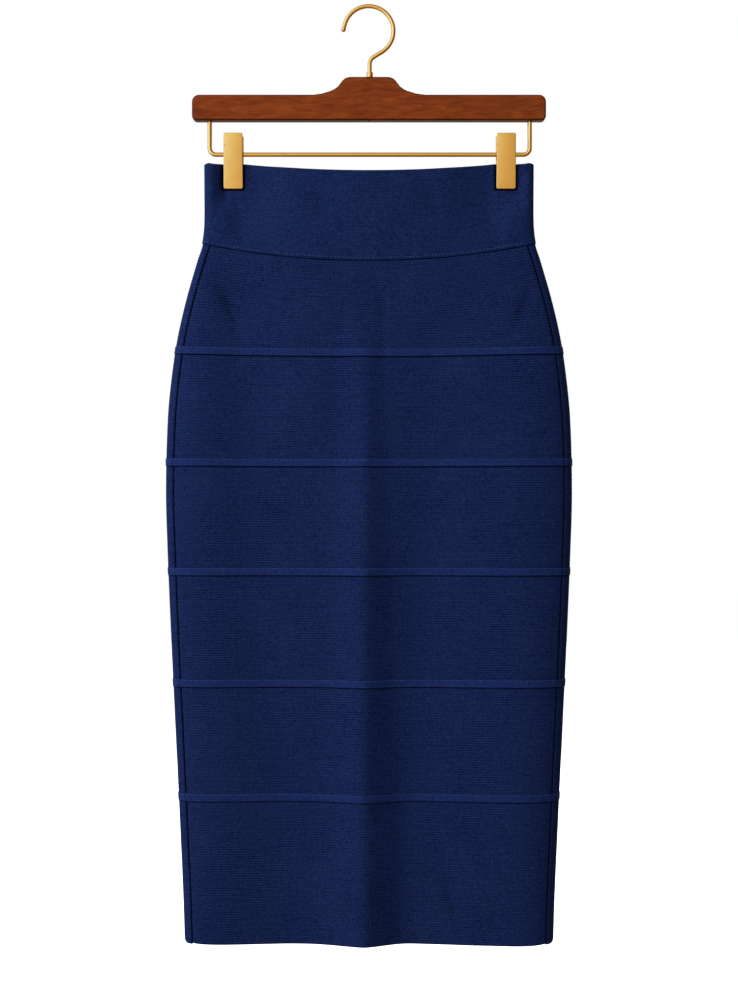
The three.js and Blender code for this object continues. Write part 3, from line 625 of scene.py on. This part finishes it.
def fold_sum(side, x, z):
    """How far the mouth of the waist and the large folds move the face out, front or back."""
    top, foot, width, crest, rise_front, rise_back = MOUTH
    t = np.clip((z - top) / (foot - top), 0.0, 1.0)
    rise = rise_front if side == "front" else rise_back
    total = rise * np.cos(np.pi / 2 * t) * crest_share(x, crest, width)
    for top, foot, x_top, x_foot, left_top, left_foot, right_top, right_foot, crest, rise in FOLDS[side]:
        t = np.clip((z - top) / (foot - top), 0.0, 1.0)
        away = x - (x_top + (x_foot - x_top) * t)
        left = left_top + (left_foot - left_top) * t
        right = right_top + (right_foot - right_top) * t
        height = rise * t**FOLD_START * ease(t, 0.0, FOLD_LEAD)
        total = total + height * crest_share(away, crest, np.where(away < 0, left, right))
    return total


def crease_sum(side, x, z):
    """The small creases of one side, each strongest at its middle and fading to its ends."""
    total = np.zeros_like(x)
    for (x0, z0), (x1, z1), half, rise in CREASES[side]:
        run, fall = x1 - x0, z1 - z0
        t = ((x - x0) * run + (z - z0) * fall) / (run**2 + fall**2)
        near = np.hypot(x - (x0 + run * np.clip(t, 0, 1)), z - (z0 + fall * np.clip(t, 0, 1))) / half
        along = 0.35 + 0.65 * np.sin(np.pi * np.clip(t, 0.0, 1.0))
        total = total + rise * np.clip(1 - near**2, 0, 1) ** 2 * along
    return total


def crease_at(turn, x, z):
    """The small creases at a turn of the skirt, front or back."""
    return np.where(np.cos(turn) >= 0, crease_sum("front", x, z), crease_sum("back", x, z))


def face_point(turn, z):
    """The skirt's outer face. The turn runs from the middle of the front by +X to the middle of the back."""
    half_width = form_at("half_width", z)
    x = half_width * np.sin(turn)
    shut = WALL + GAP / 2
    away = np.abs(x) - CLIP_X * 1000
    reach = np.where(away < 0, PRESS_INWARD, PRESS_OUTWARD)
    outside = ease(away, -PRESS_HALF, PRESS_HALF)
    below = PRESS_BELOW_INSIDE + (PRESS_BELOW_OUTSIDE - PRESS_BELOW_INSIDE) * outside
    held = (1 - ease((np.abs(away) - PRESS_HALF) / reach, 0.0, 1.0)) * ease(z, PRESS_FOOT - below, PRESS_FOOT)
    depths = []
    for side in ("front", "back"):
        base = form_at(side, z)
        sharpness = 2 * half_width * form_at("fold", z) / base**2
        round_off = np.sqrt(np.maximum(0.0, 1 - np.abs(x / half_width) ** sharpness))
        opened = np.maximum(base + fold_sum(side, x, z), shut)
        depths.append(round_off * (shut + (opened - shut) * (1 - held)))
    return x, np.where(np.cos(turn) >= 0, -depths[0], depths[1])


def out_of_face(turn, z, distance):
    """Points of the face moved out of it, in millimetres."""
    step = 1e-3
    x, y = face_point(turn, z)
    ahead, behind = face_point(turn + step, z), face_point(turn - step, z)
    along = np.stack((ahead[0] - behind[0], ahead[1] - behind[1]), axis=-1)
    along /= np.linalg.norm(along, axis=-1, keepdims=True)
    return np.stack((x + along[..., 1] * distance, y - along[..., 0] * distance, z), axis=-1)


def seam_z(seam, turn):
    """The height of a cross seam, which hangs lower at the middle."""
    return seam[0] - seam[1] * np.cos(turn) ** 2


def waist_edge(turn):
    """The top edge, with the small bump that the seam allowance makes at each side seam."""
    x = form_at("half_width", np.full_like(turn, WAIST_EDGE_Z)) * np.sin(turn)
    sag = WAIST_EDGE_SAG * np.maximum(0.0, 1 - (x / WAIST_EDGE_HALF) ** 2)
    return WAIST_EDGE_Z - sag + 0.7 * groove(np.abs(x) - 160.0, 2.6)


def span_ends(side, z, seam_gap=GAP):
    """The turns at which a front or back piece starts and ends, at its side seams."""
    inset = SEAM_INSET + (seam_gap if side == "front" else 0.0)
    seam = np.arcsin(1 - inset / form_at("half_width", z))
    return (-seam, seam) if side == "front" else (seam, 2 * np.pi - seam)


# Where a piece needs closer columns: the middle turn of each large crest, and how wide
CLOSE_COLUMNS = {"front": ((-0.02, 0.17),), "back": ((np.pi - 0.26, 0.16), (np.pi + 0.36, 0.15))}
COLUMNS = {"front": 84, "back": 112}
# The columns next to a side seam, in millimetres from it
SEAM_COLUMNS = (0.35, 0.7, 1.1, 1.7, 2.6, 4.0)


def column_places(side, extra=()):
    """Shares of the way across a piece for its columns, closer together at the large crests and side seams.
    The band has extra columns at some distances from the middle, in millimetres."""
    start, end = span_ends(side, np.array(-600.0))
    turns = np.linspace(float(start), float(end), 2001)
    density = np.ones_like(turns)
    for middle, width in CLOSE_COLUMNS[side]:
        density += 1.9 * groove(turns - middle, width)
    filled = np.concatenate(((0.0,), np.cumsum((density[1:] + density[:-1]) / 2)))
    wanted = np.linspace(0.0, filled[-1], COLUMNS[side] + 1)
    places = (np.interp(wanted, filled, turns) - turns[0]) / (turns[-1] - turns[0])
    path = out_of_face(turns, np.full_like(turns, -600.0), 0.0)
    gone = np.concatenate(((0.0,), np.cumsum(np.linalg.norm(np.diff(path, axis=0), axis=1))))
    near = np.interp(SEAM_COLUMNS, gone, np.linspace(0.0, 1.0, gone.size))
    middle = places[(places > near[-1] * 1.3) & (places < 1 - near[-1] * 1.3)]
    if len(extra) > 0:
        first, last = span_ends(side, np.array(-170.0))
        held = np.arcsin(np.array(extra) / form_at("half_width", np.array(-170.0)))
        share = np.sort(((held if side == "front" else np.pi - held) - first) / (last - first))
        apart = np.abs(middle[:, None] - share[None, :]).min(axis=1)
        middle = np.sort(np.concatenate((middle[apart > 0.002], share)))
    return np.concatenate(((0.0,), near, middle, 1 - near[::-1], (1.0,)))


def uneven(u, v, kind):
    """Slow, smooth unevenness from about -1 to 1, always the same for the same place and kind."""
    return (np.sin(u + 1.3 * kind) + np.sin(0.43 * u + 0.71 * v + 2.1 * kind)
            + np.sin(1.17 * v - 0.29 * u + 0.7 * kind)) / 3


def lay_out(name, corners, faces):
    """A new piece with the given corners and faces."""
    mesh = bpy.data.meshes.new(name)
    mesh.from_pydata(corners.tolist(), [], faces)
    piece = bpy.data.objects.new(name, mesh)
    bpy.context.scene.collection.objects.link(piece)
    return piece


def cloth_shell(name, side, top, foot, inner, outer, relief, pitch, inner_rows=10, seam_gap=GAP, extra=()):
    """A closed wall of cloth between two cross lines, ribbed on its outer face, with a map of its weave.
    The map runs in ribs, down the piece and across it."""
    quarter = np.array(np.pi / 2)
    middle = np.array(0.0 if side == "front" else np.pi)
    tall = float(top(middle) - foot(middle))
    ribs = max(1, round(tall / pitch))
    rows = ribs * ROWS_A_RIB
    places = column_places(side, extra)
    share = np.linspace(0.0, 1.0, rows + 1)

    def grid(shares, gap):
        side_z = float(top(quarter)) + (float(foot(quarter)) - float(top(quarter))) * shares
        start, end = span_ends(side, side_z, gap)
        turn = start[:, None] + (end - start)[:, None] * places[None, :]
        z = top(turn) + (foot(turn) - top(turn)) * shares[:, None]
        return turn, z

    turn, z = grid(share, seam_gap)
    flat = out_of_face(turn, z, 0.0)
    steps = np.linalg.norm(np.diff(flat, axis=1), axis=-1)
    across = np.concatenate((np.zeros((rows + 1, 1)), np.cumsum(steps, axis=1)), axis=1)
    from_side = np.minimum(across, across[:, -1:] - across)
    x = flat[..., 0]
    rib_place = share[:, None] * ribs + 0.0 * turn
    outside = outer + relief(x, z, rib_place, from_side, top(turn) - z, z - foot(turn))
    outside = outside + crease_at(turn, x, z)
    outer_points = out_of_face(turn, z, outside)

    coarse = np.linspace(0, rows, inner_rows + 1).round().astype(int)
    inner_turn, inner_z = grid(share[coarse], SHUT_GAP)
    creased = crease_at(turn[coarse], x[coarse], inner_z)
    inner_points = out_of_face(inner_turn, inner_z, inner + np.maximum(creased, -DEEPEST_INSIDE))

    wide = places.size
    corners = np.concatenate((outer_points.reshape(-1, 3), inner_points.reshape(-1, 3))) / 1000.0
    outer_at = np.arange((rows + 1) * wide).reshape(rows + 1, wide)
    inner_at = (rows + 1) * wide + np.arange((inner_rows + 1) * wide).reshape(inner_rows + 1, wide)

    def quads(at, flip):
        cells = np.stack((at[:-1, :-1], at[1:, :-1], at[1:, 1:], at[:-1, 1:]), axis=-1).reshape(-1, 4)
        return cells[:, ::-1] if flip else cells

    faces = quads(outer_at, False).tolist() + quads(inner_at, True).tolist()
    for here, there in zip(range(wide - 1), range(1, wide)):
        faces.append([outer_at[0, here], outer_at[0, there], inner_at[0, there], inner_at[0, here]])
        faces.append([outer_at[-1, there], outer_at[-1, here], inner_at[-1, here], inner_at[-1, there]])
    for band in range(inner_rows):
        fine = range(coarse[band], coarse[band + 1] + 1)
        start_edge = [outer_at[row, 0] for row in reversed(fine)]
        end_edge = [outer_at[row, -1] for row in fine]
        faces.append(start_edge + [inner_at[band, 0], inner_at[band + 1, 0]])
        faces.append(end_edge + [inner_at[band + 1, -1], inner_at[band, -1]])

    piece = lay_out(name, corners, faces)
    mesh = piece.data
    weave = np.stack((across / pitch, -rib_place), axis=-1)
    weave = np.concatenate((weave.reshape(-1, 2), weave[coarse].reshape(-1, 2)))
    loops = np.zeros(len(mesh.loops), dtype=np.int32)
    mesh.loops.foreach_get("vertex_index", loops)
    layer = mesh.uv_layers.new(name="weave")
    layer.data.foreach_set("uv", weave[loops].reshape(-1).astype(np.float32))
    # Painted shade: how far the outer face lies sunk below its place, in the seams, beside the tapes, at the
    # rolled edges, the pinches at the clips and the deeper creases, kept for the knit, which darkens its
    # colour there as if in shade
    sunk = np.zeros(len(corners))
    sunk[: outer_at.size] = ease(outer - outside, 0.55, 1.5).reshape(-1)
    shaded = mesh.attributes.new(name="sunk", type="FLOAT", domain="POINT")
    shaded.data.foreach_set("value", sunk.astype(np.float32))
    mesh.validate()
    return piece


def finish_cloth(piece, finish, nodes):
    """Smooths a cloth piece and gives it its finish."""
    pick_up(piece)
    bpy.ops.object.shade_smooth_by_angle(angle=math.radians(55))
    piece.data.materials.append(finish)
    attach(piece, "root")
    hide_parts(*nodes)


def knit(name, shadow, light, rib_shade_and_sheen, loop_depth):
    """Fine cross-ribbed knit: navy yarn in soft uneven patches, with painted sheen on the crowns of the ribs
    and painted shade in their grooves, and painted shade where the face lies sunk into a seam."""
    finish, tree, place = new_finish(name)
    weave = add_node(tree, "UVMap", {}, uv_map="weave")
    weave_place = add_node(tree, "SeparateXYZ", {"Vector": weave})
    slub_place = add_node(tree, "Mapping", {"Vector": weave, "Scale": (0.10, 1.15, 1.0)})

    def reckon(operation, *values):
        return add_node(tree, "Math", dict(enumerate(values)), operation=operation)

    crown = reckon("COSINE", reckon("MULTIPLY", weave_place.outputs["Y"], 2 * math.pi))
    loop_turn = reckon("MULTIPLY", weave_place.outputs["X"], 2 * math.pi * 1.55)
    loops = reckon("SINE", reckon("ADD", loop_turn, reckon("MULTIPLY", crown, 0.9)))
    breaks = add_node(tree, "TexNoise", {"Vector": place, "Scale": 24.0, "Detail": 4.0, "Roughness": 0.65})
    # Painted shade and sheen: the colour is lighter on the crown of each rib and darker in its groove, as
    # light falls on them, by more in some places than in others
    painted_rib_shade_and_sheen = add_node(tree, "MapRange", {
        "Value": breaks, "From Min": 0.32, "From Max": 0.68,
        "To Min": 0.3 * rib_shade_and_sheen, "To Max": 1.5 * rib_shade_and_sheen})
    tone = reckon("ADD", reckon("MULTIPLY", crown, painted_rib_shade_and_sheen), 0.5)
    tone = reckon("ADD", tone, reckon("MULTIPLY", loops, 0.06))
    # Patches of the cloth, slubs along the ribs, grain of the yarn and its fuzz: place, scale, detail, share
    for where, scale, detail, share in (
            (place, 17.0, 3.0, 0.30), (slub_place, 1.0, 2.0, 0.40), (place, 480.0, 2.0, 1.45),
            (place, 1400.0, 2.0, 0.3)):
        fuzz = add_node(tree, "TexNoise", {"Vector": where, "Scale": scale, "Detail": detail})
        tone = reckon("ADD", tone, reckon("MULTIPLY", reckon("SUBTRACT", fuzz, 0.5), share))
    # The ramp holds the yarn's own uneven tone together with the painted sheen and shade of the ribs
    dye = add_shades(tree, tone, (0.0, shadow), (1.0, light))
    # Painted shade: the colour is darkened by up to 86 % where the face lies sunk
    painted_recess_shade_mask = add_node(tree, "Attribute", {}, attribute_name="sunk")
    left_after_painted_shade = reckon("SUBTRACT", 1.0, reckon("MULTIPLY", painted_recess_shade_mask.outputs["Fac"], 0.86))
    feed(tree, tree.nodes["Principled BSDF"], {
        "Specular IOR Level": 0.05, "Roughness": 0.8, "Sheen Weight": 0.01, "Sheen Roughness": 0.45,
        "Sheen Tint": (0.35, 0.48, 1.0, 1.0),
        "Base Color": add_node(tree, "VectorMath", {0: dye, "Scale": left_after_painted_shade}, operation="SCALE"),
        "Normal": add_node(tree, "Bump", {
            "Height": reckon("ADD", loops, reckon("MULTIPLY", fuzz, 1.6)), "Strength": 0.5,
            "Distance": loop_depth}),
    })
    return finish


def ribbing(x, z, rib_place, depth):
    """The crowns of the ribs lie on the face and the grooves between them under it, deeper here and there."""
    drift = 0.07 * uneven(x / 37.0, z / 29.0, 1)
    strength = 0.78 + 0.22 * uneven(x / 24.0, z / 19.0, 2)
    return -depth * strength * 0.5 * (1 - np.cos(2 * np.pi * (rib_place + drift)))


def waistband_relief(x, z, rib_place, from_side, from_top, from_foot):
    """Ribs, the rolled top edge, the seam that draws the foot of the band in and the pinch at each clip."""
    pinch = 0.0
    for clip_x in (1000 * (BAR_X - CLIP_X), 1000 * (BAR_X + CLIP_X)):
        beside = np.maximum(np.abs(x - clip_x) - 500 * CLIP_WIDTH, 0.0)
        distance = np.hypot(beside, np.maximum(1000 * CLIP_FOOT - z, 0.0))
        pinch = pinch + PINCH_DEPTH * groove(distance - 0.9, 0.85) * (distance > 0.05)
    rolled = WAIST_EDGE_RADIUS * rounded_over(from_top, WAIST_EDGE_RADIUS)
    turned_foot = 0.35 * (1 - ease(from_foot, 0.0, 0.9))
    stitched = 0.22 * groove(from_foot - WAIST_STITCHES_UP, 0.9)
    puckers = 0.10 * uneven(x / 3.1, z / 9.0, 3) * np.exp(-from_foot / 7.0)
    return ribbing(x, z, rib_place, BAND_RIB_DEPTH) - rolled - turned_foot - stitched - pinch + puckers


band_knit = knit("navy_waistband_knit", (0.0018, 0.0066, 0.0425), (0.0142, 0.0272, 0.1000),
                 rib_shade_and_sheen=0.15, loop_depth=0.00010)
# Columns at the edges of the clips, in millimetres from the middle
CLIP_COLUMNS = [1000 * BAR_X + side * (1000 * CLIP_X + outward * away)
                for side in (-1, 1) for outward in (-1, 1)
                for away in (9.2, 9.8, 10.3, 10.8, 11.4, 12.2, 13.4)]
for side in ("front", "back"):
    band = cloth_shell(
        f"waistband_knit_{side}", side, waist_edge, lambda turn: seam_z(WAIST_SEAM, turn) + WAIST_GAP / 2,
        -WALL, WAISTBAND_PROUD, waistband_relief, BAND_RIB_PITCH, seam_gap=SHUT_GAP,
        extra=CLIP_COLUMNS)
    finish_cloth(band, band_knit, [f"waistband_{side}"])


# The body of the skirt. Six panels of ribbed navy knit at the front and six at the back, seamed one below the
# other. The side seams are sewn from the inside and show as a thin sunk line, and the hem is turned up.
RIB_PITCH = 2.4
RIB_DEPTH = 0.42
TAPE_WIDTH = 7.6
TAPE_SEAMS = ((-342.1, 3.1), (-453.8, 0.8), (-562.8, 0.0), (-673.7, 0.0), (-787.1, 0.0))
HEM = (-933.4, 0.0)
SIDE_SEAM_DEPTH = 1.8
SIDE_SEAM_WIDTH = 0.75
CROSS_SEAM_DEPTH = 1.3
HEM_RADIUS = 1.2


def panel_relief(number):
    """The relief of one panel, which sinks under the waistband or tape above it and the tape below it."""
    is_first, is_last = number == 1, number == 6

    def relief(x, z, rib_place, from_side, from_top, from_foot):
        side_seam = SIDE_SEAM_DEPTH * groove(from_side, SIDE_SEAM_WIDTH)
        if is_last:
            side_seam = side_seam * (0.2 + 0.8 * ease(from_foot, 0.0, 3.0))
        if is_first:
            upper = CROSS_SEAM_DEPTH * groove(from_top, 1.0)
        else:
            upper = CROSS_SEAM_DEPTH * groove(from_top - TAPE_WIDTH / 2 - 0.3, 0.75)
        if is_last:
            lower = HEM_RADIUS * rounded_over(from_foot, HEM_RADIUS)
        else:
            lower = 0.25 * groove(from_foot - TAPE_WIDTH / 2 - 0.4, 0.8)
        near = np.exp(-from_top / 9.0) + (0.0 if is_last else 1.0) * np.exp(-from_foot / 9.0)
        puckers = 0.10 * uneven(x / 3.4, z / 8.0, number) * near
        upper, lower = upper * off_fold(x, z), lower * (1.0 if is_last else off_fold(x, z))
        return ribbing(x, z, rib_place, RIB_DEPTH) - side_seam - upper - lower + puckers

    return relief


def hem_line(turn):
    """The foot of the skirt: drawn up a little at each side seam, and round where it meets the side folds."""
    half_width = form_at("half_width", np.full_like(turn, HEM[0]))
    from_fold = half_width * (1 - np.abs(np.sin(turn)))
    rounding = 2.8 * np.clip(1 - from_fold / 3.4, 0, 1) ** 2
    drawn_up = 1.1 * np.exp(-((from_fold - SEAM_INSET) / 7.0)) * (from_fold > SEAM_INSET) * (np.cos(turn) > 0)
    return HEM[0] + rounding + drawn_up


body_knit = knit("navy_ribbed_knit", (0.0018, 0.0064, 0.0415), (0.0142, 0.0265, 0.0975),
                 rib_shade_and_sheen=0.21, loop_depth=0.00012)
seams = (WAIST_SEAM, *TAPE_SEAMS, HEM)
for side in ("front", "back"):
    for number in range(1, 7):
        above, below = seams[number - 1], seams[number]
        top_gap = WAIST_GAP if number == 1 else GAP
        foot = hem_line if number == 6 else lambda turn: seam_z(below, turn) + GAP / 2
        panel = cloth_shell(
            f"knit_{side}_{number}", side, lambda turn: seam_z(above, turn) - top_gap / 2, foot,
            -WALL, 0.0, panel_relief(number), RIB_PITCH)
        finish_cloth(panel, body_knit, [f"{side}_panel_{number}"])


# The tapes. Flat woven navy bands with a fine diagonal twill and a little more lustre than the knit, stitched
# down along both edges over each cross seam, front and back.
TAPE_THICKNESS = 0.7
TWILL_PITCH = 1.6
FOLD_PRESS = 0.5

woven_tape, tree, place = new_finish("navy_woven_tape")
weave = add_node(tree, "UVMap", {}, uv_map="weave")
aslant = add_node(tree, "Mapping", {"Vector": weave, "Rotation": (0.0, 0.0, math.radians(58))})
twill = add_node(tree, "TexWave", {"Vector": aslant, "Scale": 0.55, "Distortion": 2.4, "Detail": 2.0},
                 wave_type="BANDS").outputs["Fac"]
wear = add_node(tree, "TexNoise", {"Vector": place, "Scale": 420.0, "Detail": 3.0})
tone = add_node(tree, "Math", {0: twill, 1: 0.35, 2: wear}, operation="MULTIPLY_ADD")
feed(tree, tree.nodes["Principled BSDF"], {
    "Specular IOR Level": 0.05, "Roughness": 0.6, "Sheen Weight": 0.04, "Sheen Roughness": 0.4,
    "Sheen Tint": (0.4, 0.5, 1.0, 1.0),
    "Base Color": add_shades(tree, tone, (0.35, (0.0036, 0.0098, 0.0570)), (0.95, (0.0145, 0.0290, 0.1230))),
    "Normal": add_node(tree, "Bump", {"Height": twill, "Strength": 0.4, "Distance": 0.0001}),
})


def tape_relief(x, z, rib_place, from_side, from_top, from_foot):
    """Edges drawn down by the stitching, ends sunk at the side seams and the tape thin over the folds."""
    from_edge = np.minimum(from_top, from_foot)
    rounded = 0.5 * rounded_over(from_edge, 0.7)
    stitched = 0.12 * groove(from_edge - 1.25, 0.45)
    ends = 0.5 * groove(from_side, 0.6)
    pressed = FOLD_PRESS * (1 - off_fold(x, z))
    return 0.07 * uneven(x / 5.0, z / 4.0, 4) - np.minimum(rounded + stitched + ends + pressed, 0.6)


# A tape is cut 9.2 mm wide and its edges are turned under
for side in ("front", "back"):
    for number, seam in enumerate(TAPE_SEAMS, start=1):
        tape = cloth_shell(
            f"woven_tape_{side}_{number}", side, lambda turn: seam_z(seam, turn) + TAPE_WIDTH / 2,
            lambda turn: seam_z(seam, turn) - TAPE_WIDTH / 2, GAP, GAP + TAPE_THICKNESS, tape_relief,
            TWILL_PITCH, inner_rows=1)
        finish_cloth(tape, woven_tape, [f"{side}_tape_{number}"])


# The sewing. Rows of machine stitches in a slightly paler navy thread: one along the foot of the waistband
# and one near each edge of every tape. Each stitch is a short thick thread that dips into the cloth.
THREAD = 0.62
TAPE_STITCH_PITCH = 3.3
# How far, as a turn, a row stops short of the side seams
SEAM_MARGIN = 0.012
# The two rows on a tape: name, how far from its middle, how deep in its face, length, thickness, first kind
TAPE_ROWS = (("upper", TAPE_WIDTH / 2 - 0.8, 0.14, 1.7, THREAD, 2),
             ("lower", 1.15 - TAPE_WIDTH / 2, 0.20, 1.2, THREAD * 0.7, 9))

sewing_thread, tree, place = new_finish("navy_sewing_thread")
strands = add_node(tree, "TexNoise", {"Vector": place, "Scale": 260.0, "Detail": 2.0})
feed(tree, tree.nodes["Principled BSDF"], {
    "Roughness": 0.5, "Specular IOR Level": 0.2,
    "Base Color": add_shades(tree, strands, (0.3, (0.016, 0.034, 0.130)), (0.7, (0.050, 0.082, 0.240))),
})

lay_down_tools()
bpy.ops.mesh.primitive_uv_sphere_add(segments=6, ring_count=4, radius=1.0, location=(0.0, 0.0, 0.0),
                                     rotation=(0.0, math.radians(90), 0.0))
one_stitch = bpy.context.object
bpy.ops.object.transform_apply(location=True, rotation=True, scale=True)
stitch_corners = np.array([corner.co[:] for corner in one_stitch.data.vertices])
stitch_faces = [list(face.vertices) for face in one_stitch.data.polygons]
bpy.data.objects.remove(one_stitch)


def sew_row(name, side, line, distance, pitch, length, thickness, kind, pressed=0.0):
    """A row of stitches along a cross line of the skirt, at a distance out of its face, less over the folds.
    The kind is a number of its own, which makes the unevenness of the row."""
    start, end = span_ends(side, np.array(float(line(np.array(np.pi / 2)))))
    turn = np.linspace(float(start) + SEAM_MARGIN, float(end) - SEAM_MARGIN, 3000)
    z = line(turn)
    path = out_of_face(turn, z, distance)
    creased = crease_at(turn, path[:, 0], z)
    path = out_of_face(turn, z, distance + creased - pressed * (1 - off_fold(path[:, 0], z)))
    gone = np.concatenate(((0.0,), np.cumsum(np.linalg.norm(np.diff(path, axis=0), axis=1))))
    count = int(gone[-1] / pitch)
    places = (np.arange(count) + 0.5) * gone[-1] / count
    places = places + 0.10 * pitch * uneven(places * 1.9, places * 0.6, kind)
    centre = np.stack([np.interp(places, gone, path[:, i]) for i in range(3)], axis=1)
    ahead = np.stack([np.interp(places + 0.4, gone, path[:, i]) for i in range(3)], axis=1)
    along = ahead - centre
    along /= np.linalg.norm(along, axis=1, keepdims=True)
    outward = np.stack((along[:, 1], -along[:, 0], np.zeros(count)), axis=1)
    outward /= np.linalg.norm(outward, axis=1, keepdims=True)
    upward = np.cross(outward, along)
    size = 1.0 + 0.14 * uneven(places * 2.3, places * 1.1, kind + 1)
    corners = (centre[:, None, :]
               + stitch_corners[None, :, 0:1] * along[:, None, :] * (length / 2 * size)[:, None, None]
               + stitch_corners[None, :, 1:2] * outward[:, None, :] * thickness * 0.55
               + stitch_corners[None, :, 2:3] * upward[:, None, :] * thickness * 0.5)
    corners = corners.reshape(-1, 3) / 1000.0
    per = len(stitch_corners)
    faces = [[corner + index * per for corner in face] for index in range(count) for face in stitch_faces]
    row = lay_out(name, corners, faces)
    pick_up(row)
    bpy.ops.object.mode_set(mode="EDIT")
    bpy.ops.mesh.select_all(action="SELECT")
    bpy.ops.mesh.normals_make_consistent(inside=False)
    bpy.ops.object.mode_set(mode="OBJECT")
    bpy.ops.object.shade_smooth()
    row.data.materials.append(sewing_thread)
    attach(row, "root")


for side in ("front", "back"):
    sew_row(f"waist_stitches_{side}", side, lambda turn: seam_z(WAIST_SEAM, turn) + WAIST_STITCHES_UP,
            WAISTBAND_PROUD - 0.12, pitch=3.7, length=2.4, thickness=0.75, kind=1)
    for number, seam in enumerate(TAPE_SEAMS, start=1):
        for row, up, sunk, length, thickness, kind in TAPE_ROWS:
            sew_row(f"tape_stitches_{side}_{number}_{row}", side, lambda turn: seam_z(seam, turn) + up,
                    GAP + TAPE_THICKNESS - sunk, TAPE_STITCH_PITCH, length, thickness, kind + number,
                    pressed=FOLD_PRESS)
